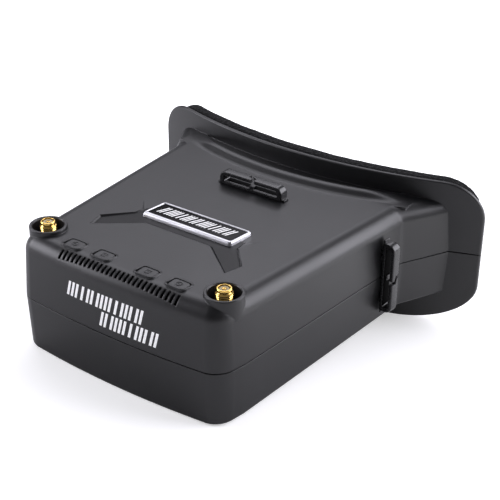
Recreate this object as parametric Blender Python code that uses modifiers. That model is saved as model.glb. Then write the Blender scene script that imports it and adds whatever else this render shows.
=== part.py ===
"""Box-type FPV goggles: a two-shell case with a moulded face plate, foam face pad, one display and
one lens, two antenna connectors, four sprung keys and a power slider.

The case frame has +X to the wearer's left, -Y forward (the labelled face), +Z up and the parting
plane at z = 0. All lengths are millimetres and become metres when a mesh is made. The whole case
frame is pitched nose-down, because the goggles rest on their front lower edge and face plate.
"""
import bmesh
import bpy
from math import atan2, cos, pi, radians, sin, sqrt
from mathutils import Matrix, Vector

MM = 0.001
GAP = 0.3                      # clearance between pieces that touch

# Case outline, seen from above
FRONT_HALF = 47.8              # half width where the side wall meets the front
FRONT_BULGE = 3.0              # how far the front face bows forward at its middle
CORNER = 9.5                   # upright front corner radius
KINK_Y, KINK_HALF = 104.0, 57.5
FLARE_Y, FLARE_HALF = 124.0, 68.3
WALL = 2.2

# Case profile, seen from the side
TOP, BOTTOM = 24.9, -22.3      # heights over the parting plane at y = 0
TAPER = 0.001                  # both heights shrink by this share for each millimetre of y
TOP_ROUND, BOTTOM_ROUND = 6.8, 1.6
TOP_DRAFT, BOTTOM_DRAFT = 1.2, 0.7
SEAM = 0.2                     # half the gap between the two shells

# Face plate and foam pad
PLATE_HALF, PLATE_TOP, PLATE_LOW = 79.6, 29.8, -34.0
PLATE_Y, PLATE_SAG = 112.0, 16.2
PLATE_THICK, FOAM_THICK = 3.0, 6.0
FOAM_SIDE_INSET, FOAM_INSET = 2.6, 1.3
NOSE_HALF, NOSE_RISE = 24.0, 12.0
BROW_HALF, BROW_RISE, BROW_BACK = 56.0, 2.4, 9.5

# Controls and connectors
KEY_X = (-23.8, -10.0, 10.0, 23.8)
KEY_NAMES = ("key_far_left", "key_left", "key_right", "key_far_right")
KEY_Y, KEY_W, KEY_D, KEY_TRAVEL = 7.6, 7.0, 5.0, 0.5
VENTS, VENT_PITCH, VENT_X, VENT_Y = 27, 2.03, -25.0, 1.9
CUP_X, CUP_Y, CUP_R, CUP_BORE, CUP_TOP, CUP_FLOOR = 40.4, 11.0, 7.0, 5.8, 26.2, 19.6
BOARD_Z, BOARD_THICK, BOARD_Y0, BOARD_Y1 = 14.0, 1.6, 3.5, 19.0
SLIDER_Y, CHARGE_Y, AV_Y, PORT_Z = 46.0, 57.0, 69.0, -9.5
SLIDER_TRAVEL = 3.0
SCREW_PLACES = ((-44.0, 34.5), (44.0, 34.5), (-47.6, 78.3), (47.6, 78.3))
POST_R, POST_TOP = 3.2, 13.0

# Badge and its X-shaped recess in the top
RECESS_FLOOR = 23.3
BADGE_HALF, BADGE_Y0, BADGE_Y1, BADGE_SLANT = 20.8, 40.6, 53.0, 1.3

# Optics
LCD_Y, LCD_HALF, LCD_LOW, LCD_HIGH = 25.0, 38.0, -17.6, 19.4
LENS_Y, LENS_HALF, LENS_LOW, LENS_HIGH = 86.0, 47.0, -16.0, 18.2

# Strap clips
CLIP_LONG, CLIP_PROUD, CLIP_DEEP, CLIP_BAR = 30.0, 5.4, 4.2, 1.5
CLIP_SIDE_Y, CLIP_TOP_Y = 92.0, 84.0

# Resting points: the middle of the front lower edge and the face plate beside the nose
REST_FRONT_Y = BOTTOM_DRAFT + BOTTOM_ROUND - FRONT_BULGE
REST_PLATE_Y = PLATE_Y + PLATE_SAG * (NOSE_HALF / PLATE_HALF) ** 2
PITCH = atan2(BOTTOM - PLATE_LOW, REST_PLATE_Y - REST_FRONT_Y)


def clear_scene():
    for old in list(bpy.data.objects):
        bpy.data.objects.remove(old, do_unlink=True)


def make_collection(name):
    made = bpy.data.collections.new(name)
    bpy.context.scene.collection.children.link(made)
    return made


def make_material(name, colour, roughness, metallic=0.0):
    made = bpy.data.materials.new(name)
    made.use_nodes = True
    shader = made.node_tree.nodes["Principled BSDF"]
    shader.inputs["Base Color"].default_value = (*colour, 1.0)
    shader.inputs["Roughness"].default_value = roughness
    shader.inputs["Metallic"].default_value = metallic
    return made


clear_scene()
PARTS = make_collection("fpv_goggles")
CUTTERS = make_collection("cutters")
CASE = bpy.data.objects.new("case_frame", None)
PARTS.objects.link(CASE)

BLACK_SHELL = make_material("shell_black", (0.07, 0.07, 0.075), 0.5)
BLACK_GLOSS = make_material("clip_black", (0.01, 0.01, 0.011), 0.2)
CHROME = make_material("badge_chrome", (0.7, 0.7, 0.72), 0.15, 1.0)
GOLD = make_material("connector_gold", (0.85, 0.6, 0.2), 0.25, 1.0)
PTFE = make_material("insulator_white", (0.9, 0.88, 0.8), 0.5)
FOAM = make_material("pad_foam", (0.025, 0.025, 0.027), 0.95)
LENS = make_material("lens_clear", (0.85, 0.9, 0.92), 0.05)
DISPLAY = make_material("display_glass", (0.02, 0.02, 0.03), 0.1)
BOARD = make_material("board_green", (0.03, 0.16, 0.07), 0.45)
STEEL = make_material("steel", (0.5, 0.5, 0.52), 0.35, 1.0)
BATTERY = make_material("battery_wrap", (0.12, 0.14, 0.35), 0.4)
LEAD = make_material("lead_black", (0.02, 0.02, 0.02), 0.45)


# ---------------------------------------------------------------- mesh helpers

def place(name, mesh, material=None, matrix=Matrix()):
    """Link a finished mesh as a part, or as a hidden cutter when it has no material."""
    obj = bpy.data.objects.new(name, mesh)
    obj.parent = CASE
    obj.matrix_local = matrix
    if material:
        mesh.materials.append(material)
        PARTS.objects.link(obj)
    else:
        CUTTERS.objects.link(obj)
        obj.hide_render = True
        obj.display_type = "WIRE"
    return obj


def finish(name, bm, material=None, origin=(0.0, 0.0, 0.0)):
    """Turn a millimetre bmesh into an object in metres whose origin is at the given point."""
    start = Vector(origin)
    bmesh.ops.translate(bm, vec=-start, verts=bm.verts)
    bmesh.ops.scale(bm, vec=(MM, MM, MM), verts=bm.verts)
    bmesh.ops.recalc_face_normals(bm, faces=bm.faces)
    mesh = bpy.data.meshes.new(name)
    bm.to_mesh(mesh)
    bm.free()
    mesh.shade_smooth()
    mesh.set_sharp_from_angle(angle=radians(35))
    return place(name, mesh, material, Matrix.Translation(start * MM))


def box(bm, low, high, round_edges=0.0):
    """Add a box between two corners, with its edges rounded if asked."""
    low, high = Vector(low), Vector(high)
    made = bmesh.ops.create_cube(bm, size=1.0)["verts"]
    bmesh.ops.scale(bm, vec=high - low, verts=made)
    bmesh.ops.translate(bm, vec=(low + high) / 2, verts=made)
    if round_edges:
        edges = list({e for v in made for e in v.link_edges})
        bmesh.ops.bevel(bm, geom=edges, offset=round_edges, segments=2, profile=0.5,
                        affect="EDGES", clamp_overlap=True)


def cylinder(bm, centre, radius, z0, z1, segments=24):
    """Add an upright closed cylinder or cone."""
    made = bmesh.ops.create_cone(bm, cap_ends=True, segments=segments, radius1=radius,
                                 radius2=radius, depth=z1 - z0)["verts"]
    bmesh.ops.translate(bm, vec=(centre[0], centre[1], (z0 + z1) / 2), verts=made)
    return made


def loft(bm, rings):
    """Skin a list of closed rings that all have the same number of points, and cap both ends."""
    rows = [[bm.verts.new(point) for point in ring] for ring in rings]
    count = len(rows[0])
    for lower, upper in zip(rows, rows[1:]):
        for i in range(count):
            j = (i + 1) % count
            bm.faces.new((lower[i], lower[j], upper[j], upper[i]))
    bm.faces.new(rows[0][::-1])
    bm.faces.new(rows[-1])


def outline_plate(name, outline, z0, z1, material=None, origin=(0.0, 0.0, 0.0)):
    """A flat outline with thickness, from a filled 2D curve."""
    curve = bpy.data.curves.new(name, "CURVE")
    curve.dimensions = "2D"
    curve.fill_mode = "BOTH"
    curve.extrude = (z1 - z0) / 2 * MM
    spline = curve.splines.new("POLY")
    spline.points.add(len(outline) - 1)
    spline.use_cyclic_u = True
    for point, (x, y) in zip(spline.points, outline):
        point.co = (x * MM, y * MM, 0.0, 1.0)
    guide = bpy.data.objects.new(name + "_outline", curve)
    bpy.context.scene.collection.objects.link(guide)
    evaluated = guide.evaluated_get(bpy.context.evaluated_depsgraph_get())
    mesh = bpy.data.meshes.new_from_object(evaluated)
    bpy.data.objects.remove(guide)
    bm = bmesh.new()
    bm.from_mesh(mesh)
    bpy.data.meshes.remove(mesh)
    bmesh.ops.remove_doubles(bm, verts=bm.verts, dist=0.00001)
    bmesh.ops.scale(bm, vec=(1 / MM, 1 / MM, 1 / MM), verts=bm.verts)
    bmesh.ops.translate(bm, vec=(0.0, 0.0, (z0 + z1) / 2), verts=bm.verts)
    return finish(name, bm, material, origin)


def turned(name, profile, centre, material=None, steps=32):
    """A Screw-modifier turning about an upright axis; the profile runs down its outer side."""
    bm = bmesh.new()
    verts = [bm.verts.new((r * MM, 0.0, z * MM)) for r, z in profile]
    for a, b in zip(verts, verts[1:]):
        bm.edges.new((a, b))
    mesh = bpy.data.meshes.new(name)
    bm.to_mesh(mesh)
    bm.free()
    obj = place(name, mesh, material, Matrix.Translation(Vector((*centre, 0.0)) * MM))
    screw = obj.modifiers.new("turn", "SCREW")
    screw.axis = "Z"
    screw.steps = screw.render_steps = steps
    screw.use_merge_vertices = True
    screw.merge_threshold = 0.00001
    screw.use_smooth_shade = True
    return obj


def boolean(obj, other, operation="DIFFERENCE"):
    modifier = obj.modifiers.new(operation.lower() + "_" + other.name, "BOOLEAN")
    modifier.operation = operation
    modifier.solver = "EXACT"
    modifier.object = other


def rounded_rectangle(x0, y0, x1, y1, radius, steps=4):
    """Corner points of a rounded rectangle, going round once."""
    points = []
    corners = ((x1 - radius, y1 - radius, 0), (x0 + radius, y1 - radius, 1),
               (x0 + radius, y0 + radius, 2), (x1 - radius, y0 + radius, 3))
    for cx, cy, quarter in corners:
        for step in range(steps + 1):
            angle = (quarter + step / steps) * pi / 2
            points.append((cx + radius * cos(angle), cy + radius * sin(angle)))
    return points


# ---------------------------------------------------------------- the case form

def wall_half(y):
    """Half width of the case at a distance from the front."""
    if y <= KINK_Y:
        return FRONT_HALF + (KINK_HALF - FRONT_HALF) * y / KINK_Y
    return KINK_HALF + (FLARE_HALF - KINK_HALF) * (y - KINK_Y) / (FLARE_Y - KINK_Y)


def front_y(x):
    return -FRONT_BULGE * (1 - (x / FRONT_HALF) ** 2)


def plate_y(x):
    """Front surface of the face plate, bowed round the wearer's face."""
    return PLATE_Y + PLATE_SAG * (x / PLATE_HALF) ** 2


def top_z(y):
    return TOP * (1 - TAPER * y)


def bottom_z(y):
    return BOTTOM * (1 - TAPER * y)


def half_outline(inset, rear):
    """Right half of the case seen from above, from the front middle to the rear middle."""
    radius = CORNER - inset
    edge = FRONT_HALF - CORNER
    points = [(x, front_y(x) + inset) for x in (0.0, edge * 0.25, edge * 0.5, edge * 0.75)]
    centre = Vector((edge + 0.25, front_y(edge) + CORNER))
    start, stop = radians(-80), radians(-5)
    for step in range(7):
        angle = start + (stop - start) * step / 6
        points.append((centre.x + radius * cos(angle), centre.y + radius * sin(angle)))
    points.append((wall_half(55.0) - inset, 55.0))
    points.append((wall_half(KINK_Y) - inset, KINK_Y + 0.2 * inset))
    corner_x = wall_half(rear or FLARE_Y) - 1.12 * inset
    for share in (1.0, 0.75, 0.5, 0.25, 0.0):
        x = corner_x * share
        points.append((x, rear or plate_y(x) + PLATE_THICK / 2))
    return points


def case_ring(inset, z, rear=None):
    """One level of the case: the full outline at a height, squeezed by the taper."""
    right = half_outline(inset, rear)
    left = [(-x, y) for x, y in right[-2:0:-1]]
    return [(x, y, z * (1 - TAPER * y)) for x, y in right + left]


def case_levels(round_top, round_bottom, steps):
    """Insets and heights that round the case's lower and upper edges over."""
    levels = []
    for step in range(3):
        angle = step / 2 * pi / 2
        levels.append((BOTTOM_DRAFT + round_bottom * (1 - sin(angle)),
                       BOTTOM + round_bottom * (1 - cos(angle))))
    levels += [(0.0, 0.0)]
    for step in range(steps + 1):
        angle = step / steps * pi / 2
        levels.append((TOP_DRAFT + round_top * (1 - cos(angle)),
                       TOP - round_top * (1 - sin(angle))))
    return levels


def case_body(name):
    bm = bmesh.new()
    loft(bm, [case_ring(inset, z) for inset, z in case_levels(TOP_ROUND, BOTTOM_ROUND, 5)])
    return finish(name, bm, BLACK_SHELL)


def cavity_cutter(name, slack=0.0):
    """The space inside the case, open at the back, or a smaller copy that fits in it."""
    bm = bmesh.new()
    levels = ((BOTTOM_DRAFT + WALL + 0.6, BOTTOM + WALL + slack), (WALL, 0.0),
              (TOP_DRAFT + WALL + 0.3, TOP - WALL - 4.5 - slack),
              (TOP_DRAFT + WALL + 4.5, TOP - WALL - slack))
    loft(bm, [case_ring(inset + slack, z, rear=FLARE_Y + 20.0) for inset, z in levels])
    return finish(name, bm)


def plate_stations():
    """Places across the face plate, close together where its outline turns."""
    steps = [NOSE_HALF * i / 6 for i in range(7)] + [34.5, 45.0, 51.0, 57.0]
    steps += [63.0 + (PLATE_HALF - 63.0) * sin(i / 6 * pi / 2) for i in range(7)]
    return [-x for x in steps[:0:-1]] + steps


def plate_top(x, inset=0.0):
    u = max(0.0, (abs(x) - 63.0) / (PLATE_HALF - 63.0))
    return PLATE_TOP - inset - 15.3 * (1 - sqrt(max(0.0, 1 - u * u)))


def plate_low(x, inset=0.0):
    if abs(x) < NOSE_HALF:
        return PLATE_LOW + inset + NOSE_RISE * cos(pi * x / (2 * NOSE_HALF)) ** 2
    u = max(0.0, (abs(x) - 45.0) / (PLATE_HALF - 45.0))
    return PLATE_LOW + inset + 19.0 * (1 - sqrt(max(0.0, 1 - u * u)))


def face_slab(name, y_offset, thickness, inset=0.0, side_inset=0.0, material=None):
    """A slab bowed like the face plate, lofted across its width."""
    bm = bmesh.new()
    shrink = 1 - side_inset / PLATE_HALF
    sections = []
    for x in plate_stations():
        near = plate_y(x * shrink) + y_offset
        top, low = plate_top(x, inset), plate_low(x, inset)
        sections.append(((x * shrink, near, top), (x * shrink, near, low),
                         (x * shrink, near + thickness, low), (x * shrink, near + thickness, top)))
    loft(bm, sections)
    return finish(name, bm, material)


def brow(name):
    """The low curved ridge across the top, just in front of the face plate."""
    section = ((-6.0, -0.3), (-4.2, 0.08), (-2.8, 0.35), (-1.6, 0.75), (-0.6, 0.97), (0.6, 1.0),
               (1.8, 0.9), (2.8, 0.5), (3.4, -0.3))
    bm = bmesh.new()
    rings = []
    for step in range(17):
        x = BROW_HALF * (step / 8 - 1)
        rise = BROW_RISE * max(0.05, 1 - (x / BROW_HALF) ** 4)
        middle = plate_y(x) - BROW_BACK * (1 - 0.45 * (x / BROW_HALF) ** 2)
        ring = [(x, middle + y, top_z(middle + y) + rise * share) for y, share in section]
        ring += [(x, middle + y, top_z(middle + y) - 1.6) for y in (3.4, -6.0)]
        rings.append(ring)
    loft(bm, rings)
    return finish(name, bm)


def half_space(name, low, high):
    bm = bmesh.new()
    box(bm, (-120.0, -40.0, low), (120.0, 200.0, high))
    return finish(name, bm)


def shell(name, keep_low, keep_high):
    """One half of the case with its half of the face plate, hollow inside, with screw posts."""
    obj = case_body(name)
    boolean(obj, face_slab(name + "_plate", 0.0, PLATE_THICK), "UNION")
    if keep_high > 0:
        boolean(obj, brow(name + "_brow"), "UNION")
    boolean(obj, cavity_cutter(name + "_cavity"))
    for index, (x, y) in enumerate(SCREW_PLACES):
        post = bmesh.new()
        cylinder(post, (x, y), POST_R, bottom_z(y) + 1.0, POST_TOP, 20)
        boolean(obj, finish(f"{name}_post_{index}", post), "UNION")
        web = bmesh.new()
        wall = (wall_half(y) - 1.5) * (1 if x > 0 else -1)
        box(web, (min(x, wall), y - 0.9, bottom_z(y) + 1.3), (max(x, wall), y + 0.9, POST_TOP - 0.7))
        boolean(obj, finish(f"{name}_web_{index}", web), "UNION")
    boolean(obj, half_space(name + "_half", keep_low, keep_high), "INTERSECT")
    return obj


# ---------------------------------------------------------------- strap clips

def clip_outline():
    """A flat ring with rounded ends, split at the middle of its outer bar."""
    half, inner = CLIP_LONG / 2, CLIP_LONG / 2 - 2.2
    split = 0.7
    outer_top = CLIP_PROUD
    window_low, window_high = 1.2, CLIP_PROUD - CLIP_BAR
    left = [(-split, window_high), (-inner, window_high), (-inner, window_low)]
    right = [(inner, window_low), (inner, window_high), (split * 0.4, window_high)]
    outside = [(split * 1.4, outer_top)]
    for step in range(5):
        angle = pi / 2 * (1 - step / 4)
        outside.append((half - 3.0 + 3.0 * cos(angle), outer_top - 3.0 + 3.0 * sin(angle)))
    outside += [(half, 0.0), (-half, 0.0)]
    for step in range(5):
        angle = pi - pi / 2 * step / 4
        outside.append((-half + 3.0 + 3.0 * cos(angle), outer_top - 3.0 + 3.0 * sin(angle)))
    outside.append((-split * 0.2, outer_top))
    return left + right + outside


def clip_matrix(side):
    """Where a clip sits: side is -1 or 1 for the side walls and 0 for the top."""
    if side == 0:
        spot = Vector((0.0, CLIP_TOP_Y, top_z(CLIP_TOP_Y) + GAP))
        return Matrix.Translation(spot) @ Matrix.Rotation(radians(90), 4, "X")
    lean = atan2(KINK_HALF - FRONT_HALF, KINK_Y)
    out = Vector((side * cos(lean), -sin(lean), 0.0))
    up = Vector((0.0, 0.0, 1.0))
    frame = Matrix((up, out, up.cross(out))).transposed()
    spot = Vector((side * wall_half(CLIP_SIDE_Y), CLIP_SIDE_Y, 0.0)) + out * (GAP + 0.05)
    return Matrix.Translation(spot) @ frame.to_4x4()


def clip_bodies(name, side, grow, material):
    """The clip's two pegs, as wanted for the clip or, grown, for the slots in the shell."""
    bm = bmesh.new()
    for x in (-9.5, 9.5):
        box(bm, (x - 2.0 - grow, -3.4 - grow, -1.1 - grow), (x + 2.0 + grow, 0.5, 1.1 + grow))
    bmesh.ops.transform(bm, matrix=clip_matrix(side), verts=bm.verts)
    return finish(name, bm, material)


def strap_clip(name, side):
    clip = outline_plate(name, clip_outline(), -CLIP_DEEP / 2, CLIP_DEEP / 2, BLACK_GLOSS)
    scaled = clip_matrix(side)
    scaled.translation *= MM
    clip.matrix_local = scaled
    boolean(clip, clip_bodies(name + "_pegs", side, 0.0, None), "UNION")
    return clip


# ---------------------------------------------------------------- controls

def key_stack(index, board_top):
    """A key cap on its stem, with the small switch that it presses."""
    x, name = KEY_X[index], KEY_NAMES[index]
    cap_top = top_z(KEY_Y) + 0.25
    shelf = top_z(KEY_Y) - WALL - GAP - 0.8
    cap = outline_plate(name, rounded_rectangle(x - KEY_W / 2, KEY_Y - KEY_D / 2, x + KEY_W / 2,
                                                KEY_Y + KEY_D / 2, 1.2), shelf - 0.4, cap_top,
                        BLACK_SHELL, (x, KEY_Y, cap_top))
    bm = bmesh.new()
    box(bm, (x - KEY_W / 2 - 0.9, KEY_Y - KEY_D / 2, shelf - 0.9),
        (x + KEY_W / 2 + 0.9, KEY_Y + KEY_D / 2 + 1.2, shelf))
    boolean(cap, finish(name + "_shelf", bm), "UNION")
    bm = bmesh.new()
    cylinder(bm, (x, KEY_Y), 1.3, board_top + 2.9, shelf - 0.5, 16)
    boolean(cap, finish(name + "_stem", bm), "UNION")

    housing = bmesh.new()
    box(housing, (x - 3.0, KEY_Y - 3.0, board_top + GAP), (x + 3.0, KEY_Y + 3.0, board_top + 2.0))
    tact = finish(name + "_switch", housing, STEEL)
    bore = bmesh.new()
    cylinder(bore, (x, KEY_Y), 1.9, board_top + 1.3 - KEY_TRAVEL, board_top + 3.0, 20)
    boolean(tact, finish(name + "_switch_bore", bore))

    plunger = bmesh.new()
    cylinder(plunger, (x, KEY_Y), 1.5, board_top + 1.5, board_top + 2.6, 20)
    finish(name + "_plunger", plunger, BLACK_GLOSS, (x, KEY_Y, board_top + 2.6))


def antenna_set(side, label, board_top):
    """A gold coaxial connector soldered to the board, with its insulator and centre contact."""
    centre = (side * CUP_X, CUP_Y)
    base, tip = board_top + GAP, CUP_TOP + 1.6
    profile = [(2.1, tip), (2.5, tip), (2.7, tip - 0.2), (2.7, tip - 0.9), (2.4, tip - 1.0),
               (2.4, tip - 1.35), (3.175, tip - 1.8)]
    turns = 5
    pitch = 0.7
    for turn in range(turns):
        z = tip - 2.1 - turn * pitch
        profile += [(3.175, z), (2.85, z - pitch / 2)]
    profile += [(2.85, base + 1.4), (2.85, base + 0.6), (2.1, base + 0.6), (2.1, tip)]
    body = turned("antenna_connector_" + label, profile, centre, GOLD)
    feet = bmesh.new()
    box(feet, (centre[0] - 3.2, centre[1] - 3.2, base), (centre[0] + 3.2, centre[1] + 3.2,
                                                        base + 1.2))
    boolean(body, finish(body.name + "_base", feet), "UNION")

    sleeve = [(0.95, tip - 0.4), (1.8, tip - 0.4), (1.8, base + 1.5), (0.95, base + 1.5),
              (0.95, tip - 0.4)]
    turned("antenna_insulator_" + label, sleeve, centre, PTFE, 24)
    contact = [(0.3, tip - 0.3), (0.65, tip - 0.3), (0.65, base + 1.5), (0.01, base + 1.5),
               (0.01, tip - 3.5), (0.3, tip - 3.5), (0.3, tip - 0.3)]
    turned("antenna_contact_" + label, contact, centre, GOLD, 16)


def wall_frame(y, z):
    """Axes on the left side wall: along the wall, up, and out of the case."""
    lean = atan2(KINK_HALF - FRONT_HALF, KINK_Y)
    along = Vector((-sin(lean), cos(lean), 0.0))
    up = Vector((0.0, 0.0, 1.0))
    out = Vector((-cos(lean), -sin(lean), 0.0))
    spot = Vector((-wall_half(y) + 0.3, y, z))
    return Matrix.Translation(spot) @ Matrix((along, up, out)).transposed().to_4x4()


def on_wall(bm, y, z):
    bmesh.ops.transform(bm, matrix=wall_frame(y, z), verts=bm.verts)


def side_sockets(lower):
    """Power slider, charging socket and video socket on the left wall, with their board."""
    cuts = bmesh.new()
    slot = bmesh.new()
    box(cuts, (-2.1 - SLIDER_TRAVEL / 2, -1.6, -4.0), (2.1 + SLIDER_TRAVEL / 2, 1.6, 3.0))
    on_wall(cuts, SLIDER_Y, PORT_Z)
    boolean(lower, finish("slider_slot", cuts))
    box(slot, (-4.4, -1.9, -4.0), (4.4, 1.9, 3.0))
    on_wall(slot, CHARGE_Y, PORT_Z)
    boolean(lower, finish("charge_slot", slot))
    round_hole = bmesh.new()
    cylinder(round_hole, (0.0, 0.0), 3.4, -4.0, 3.0, 24)
    on_wall(round_hole, AV_Y, PORT_Z)
    boolean(lower, finish("av_hole", round_hole))

    knob = bmesh.new()
    box(knob, (-1.8 - SLIDER_TRAVEL / 2, -1.3, -3.2), (1.8 - SLIDER_TRAVEL / 2, 1.3, 1.1), 0.2)
    on_wall(knob, SLIDER_Y, PORT_Z)
    origin = wall_frame(SLIDER_Y, PORT_Z) @ Vector((-SLIDER_TRAVEL / 2, 0.0, 0.0))
    finish("power_slider", knob, BLACK_GLOSS, origin)

    switch = bmesh.new()
    box(switch, (-5.0, -2.2, -6.5), (5.0, 2.2, -3.5))
    on_wall(switch, SLIDER_Y, PORT_Z)
    finish("power_switch_body", switch, STEEL)

    charge = bmesh.new()
    box(charge, (-4.0, -1.5, -6.5), (4.0, 1.5, -0.6))
    on_wall(charge, CHARGE_Y, PORT_Z)
    charge_socket = finish("charge_socket", charge, STEEL)
    mouth = bmesh.new()
    box(mouth, (-3.5, -1.0, -5.0), (3.5, 1.0, 1.0))
    on_wall(mouth, CHARGE_Y, PORT_Z)
    boolean(charge_socket, finish("charge_mouth", mouth))

    jack = bmesh.new()
    cylinder(jack, (0.0, 0.0), 3.0, -6.5, -0.6, 24)
    on_wall(jack, AV_Y, PORT_Z)
    av_socket = finish("av_socket", jack, BLACK_GLOSS)
    bore = bmesh.new()
    cylinder(bore, (0.0, 0.0), 1.8, -5.5, 1.0, 20)
    on_wall(bore, AV_Y, PORT_Z)
    boolean(av_socket, finish("av_bore", bore))

    board = bmesh.new()
    box(board, (-6.5, -5.0, -8.2), (AV_Y - SLIDER_Y + 5.0, 5.0, -6.8))
    on_wall(board, SLIDER_Y, PORT_Z)
    finish("socket_board", board, BOARD)


# ---------------------------------------------------------------- fasteners and inner parts

def case_screw(name, centre):
    z = bottom_z(centre[1]) + 1.6
    profile = [(0.01, z + 24.0), (1.2, z + 23.0), (1.2, z + 2.0), (2.4, z + 1.4), (2.4, z),
               (0.01, z)]
    screw = turned(name, profile, centre, STEEL, 20)
    cross = bmesh.new()
    for half_x, half_y in ((1.3, 0.3), (0.3, 1.3)):
        box(cross, (centre[0] - half_x, centre[1] - half_y, z - 0.5),
            (centre[0] + half_x, centre[1] + half_y, z + 0.9))
    cutter = finish(name + "_cross", cross)
    boolean(screw, cutter)
    screw.modifiers[-1].use_self = True


def screw_holes(upper, lower):
    """Pilot holes, clearance holes and sunk head seats in the screw posts."""
    for index, (x, y) in enumerate(SCREW_PLACES):
        floor = bottom_z(y)
        pilot = bmesh.new()
        cylinder(pilot, (x, y), 1.5, floor + 2.0, POST_TOP - 2.0, 16)
        boolean(upper, finish(f"upper_pilot_{index}", pilot))
        clear = bmesh.new()
        cylinder(clear, (x, y), 1.5, floor + 2.5, 2.0, 16)
        boolean(lower, finish(f"lower_pilot_{index}", clear))
        head = bmesh.new()
        cylinder(head, (x, y), 2.8, floor - 2.0, floor + 3.6, 20)
        boolean(lower, finish(f"lower_sink_{index}", head))


def frame_plate(name, y0, y1, window, pocket, pocket_y, material):
    """An upright frame that fills the case, with a window and a pocket for the piece it holds."""
    bm = bmesh.new()
    box(bm, (-80.0, y0, -40.0), (80.0, y1, 40.0))
    frame = finish(name, bm, material)
    boolean(frame, cavity_cutter(name + "_liner", GAP + 0.1), "INTERSECT")
    hole = bmesh.new()
    box(hole, (-window[0], y0 - 5.0, window[1]), (window[0], y1 + 5.0, window[2]))
    boolean(frame, finish(name + "_window", hole))
    rebate = bmesh.new()
    box(rebate, (-pocket[0], pocket_y[0], pocket[1]), (pocket[0], pocket_y[1], pocket[2]))
    boolean(frame, finish(name + "_rebate", rebate))
    return frame


def lens():
    """A wide single lens: flat towards the display, domed towards the eyes."""
    bm = bmesh.new()
    columns, rows = 16, 6
    middle = (LENS_LOW + LENS_HIGH) / 2

    def at(i, j, dome):
        x = LENS_HALF * (2 * i / columns - 1)
        z = LENS_LOW + (LENS_HIGH - LENS_LOW) * j / rows
        rise = 4.6 * (1 - (x / 58.0) ** 2 - ((z - middle) / 58.0) ** 2)
        return x, LENS_Y + 3.0 + (rise if dome else -0.6), z

    sections = []
    for i in range(columns + 1):
        front = [at(i, j, False) for j in range(rows + 1)]
        back = [at(i, j, True) for j in range(rows, -1, -1)]
        sections.append(front + back)
    loft(bm, sections)
    return finish("lens", bm, LENS)


def cable(name, route, radius, material):
    """A short inner cable clipped along a smooth route."""
    curve = bpy.data.curves.new(name, "CURVE")
    curve.dimensions = "3D"
    curve.bevel_depth = radius * MM
    curve.bevel_resolution = 2
    curve.use_fill_caps = True
    points = smooth_route([Vector(point) for point in route])
    spline = curve.splines.new("POLY")
    spline.points.add(len(points) - 1)
    for knot, point in zip(spline.points, points):
        knot.co = (*(point * MM), 1.0)
    curve.materials.append(material)
    obj = bpy.data.objects.new(name, curve)
    obj.parent = CASE
    PARTS.objects.link(obj)


def smooth_route(route, steps=5):
    """Points along a Catmull-Rom curve through the route's own points."""
    ends = [2 * route[0] - route[1]] + route + [2 * route[-1] - route[-2]]
    points = []
    for a, b, c, d in zip(ends, ends[1:], ends[2:], ends[3:]):
        for step in range(steps):
            t = step / steps
            points.append(0.5 * (2 * b + (c - a) * t + (2 * a - 5 * b + 4 * c - d) * t * t
                                 + (3 * b - a - 3 * c + d) * t ** 3))
    return points + [route[-1]]


def inner_cables():
    """Battery lead, display lead and the lead from the socket board."""
    under_board, board_edge = BOARD_Z - GAP, BOARD_Y1 + GAP
    display_back = LCD_Y - GAP
    cable("battery_lead", ((29.4, 9.0, -6.0), (31.5, 9.0, -5.6), (34.5, 9.5, -1.0),
                           (35.5, 10.0, 6.0), (35.5, 10.0, under_board)), 0.8, LEAD)
    cable("display_lead", ((6.0, display_back, 7.0), (6.0, 23.4, 7.6), (6.0, 21.9, 10.0),
                           (6.0, 21.3, 13.0), (6.0, 20.5, 14.8), (6.0, board_edge, 14.8)), 0.7,
          LEAD)
    cable("socket_lead", ((-42.5, 50.0, PORT_Z), (-40.6, 47.0, PORT_Z), (-39.2, 40.0, PORT_Z),
                          (-39.6, 33.8, PORT_Z), (-40.6, 30.0, PORT_Z), (-40.7, 22.6, PORT_Z),
                          (-40.4, 19.0, -5.0), (-38.8, 15.0, 3.0), (-38.0, 14.0, under_board)),
          0.8, LEAD)


def optics():
    lcd = bmesh.new()
    box(lcd, (-LCD_HALF, LCD_Y, LCD_LOW), (LCD_HALF, LCD_Y + 3.0, LCD_HIGH), 0.3)
    finish("lcd_panel", lcd, DISPLAY)
    frame = frame_plate("lcd_frame", LCD_Y - 1.8, LCD_Y + 5.0,
                        (LCD_HALF - 3.0, LCD_LOW + 2.5, LCD_HIGH - 2.5),
                        (LCD_HALF + GAP, LCD_LOW - GAP, LCD_HIGH + GAP),
                        (LCD_Y - 5.0, LCD_Y + 3.3), BLACK_GLOSS)
    notch = bmesh.new()
    box(notch, (-43.0, LCD_Y - 6.0, PORT_Z - 1.5), (-39.3, LCD_Y + 9.0, PORT_Z + 2.5))
    boolean(frame, finish("lcd_frame_notch", notch))
    frame_plate("lens_frame", LENS_Y - 0.4, LENS_Y + 4.2,
                (LENS_HALF - 2.0, LENS_LOW + 1.5, LENS_HIGH - 1.5),
                (LENS_HALF + GAP, LENS_LOW - GAP, LENS_HIGH + GAP), (LENS_Y + 2.0, LENS_Y + 9.0),
                BLACK_GLOSS)
    lens()


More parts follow.
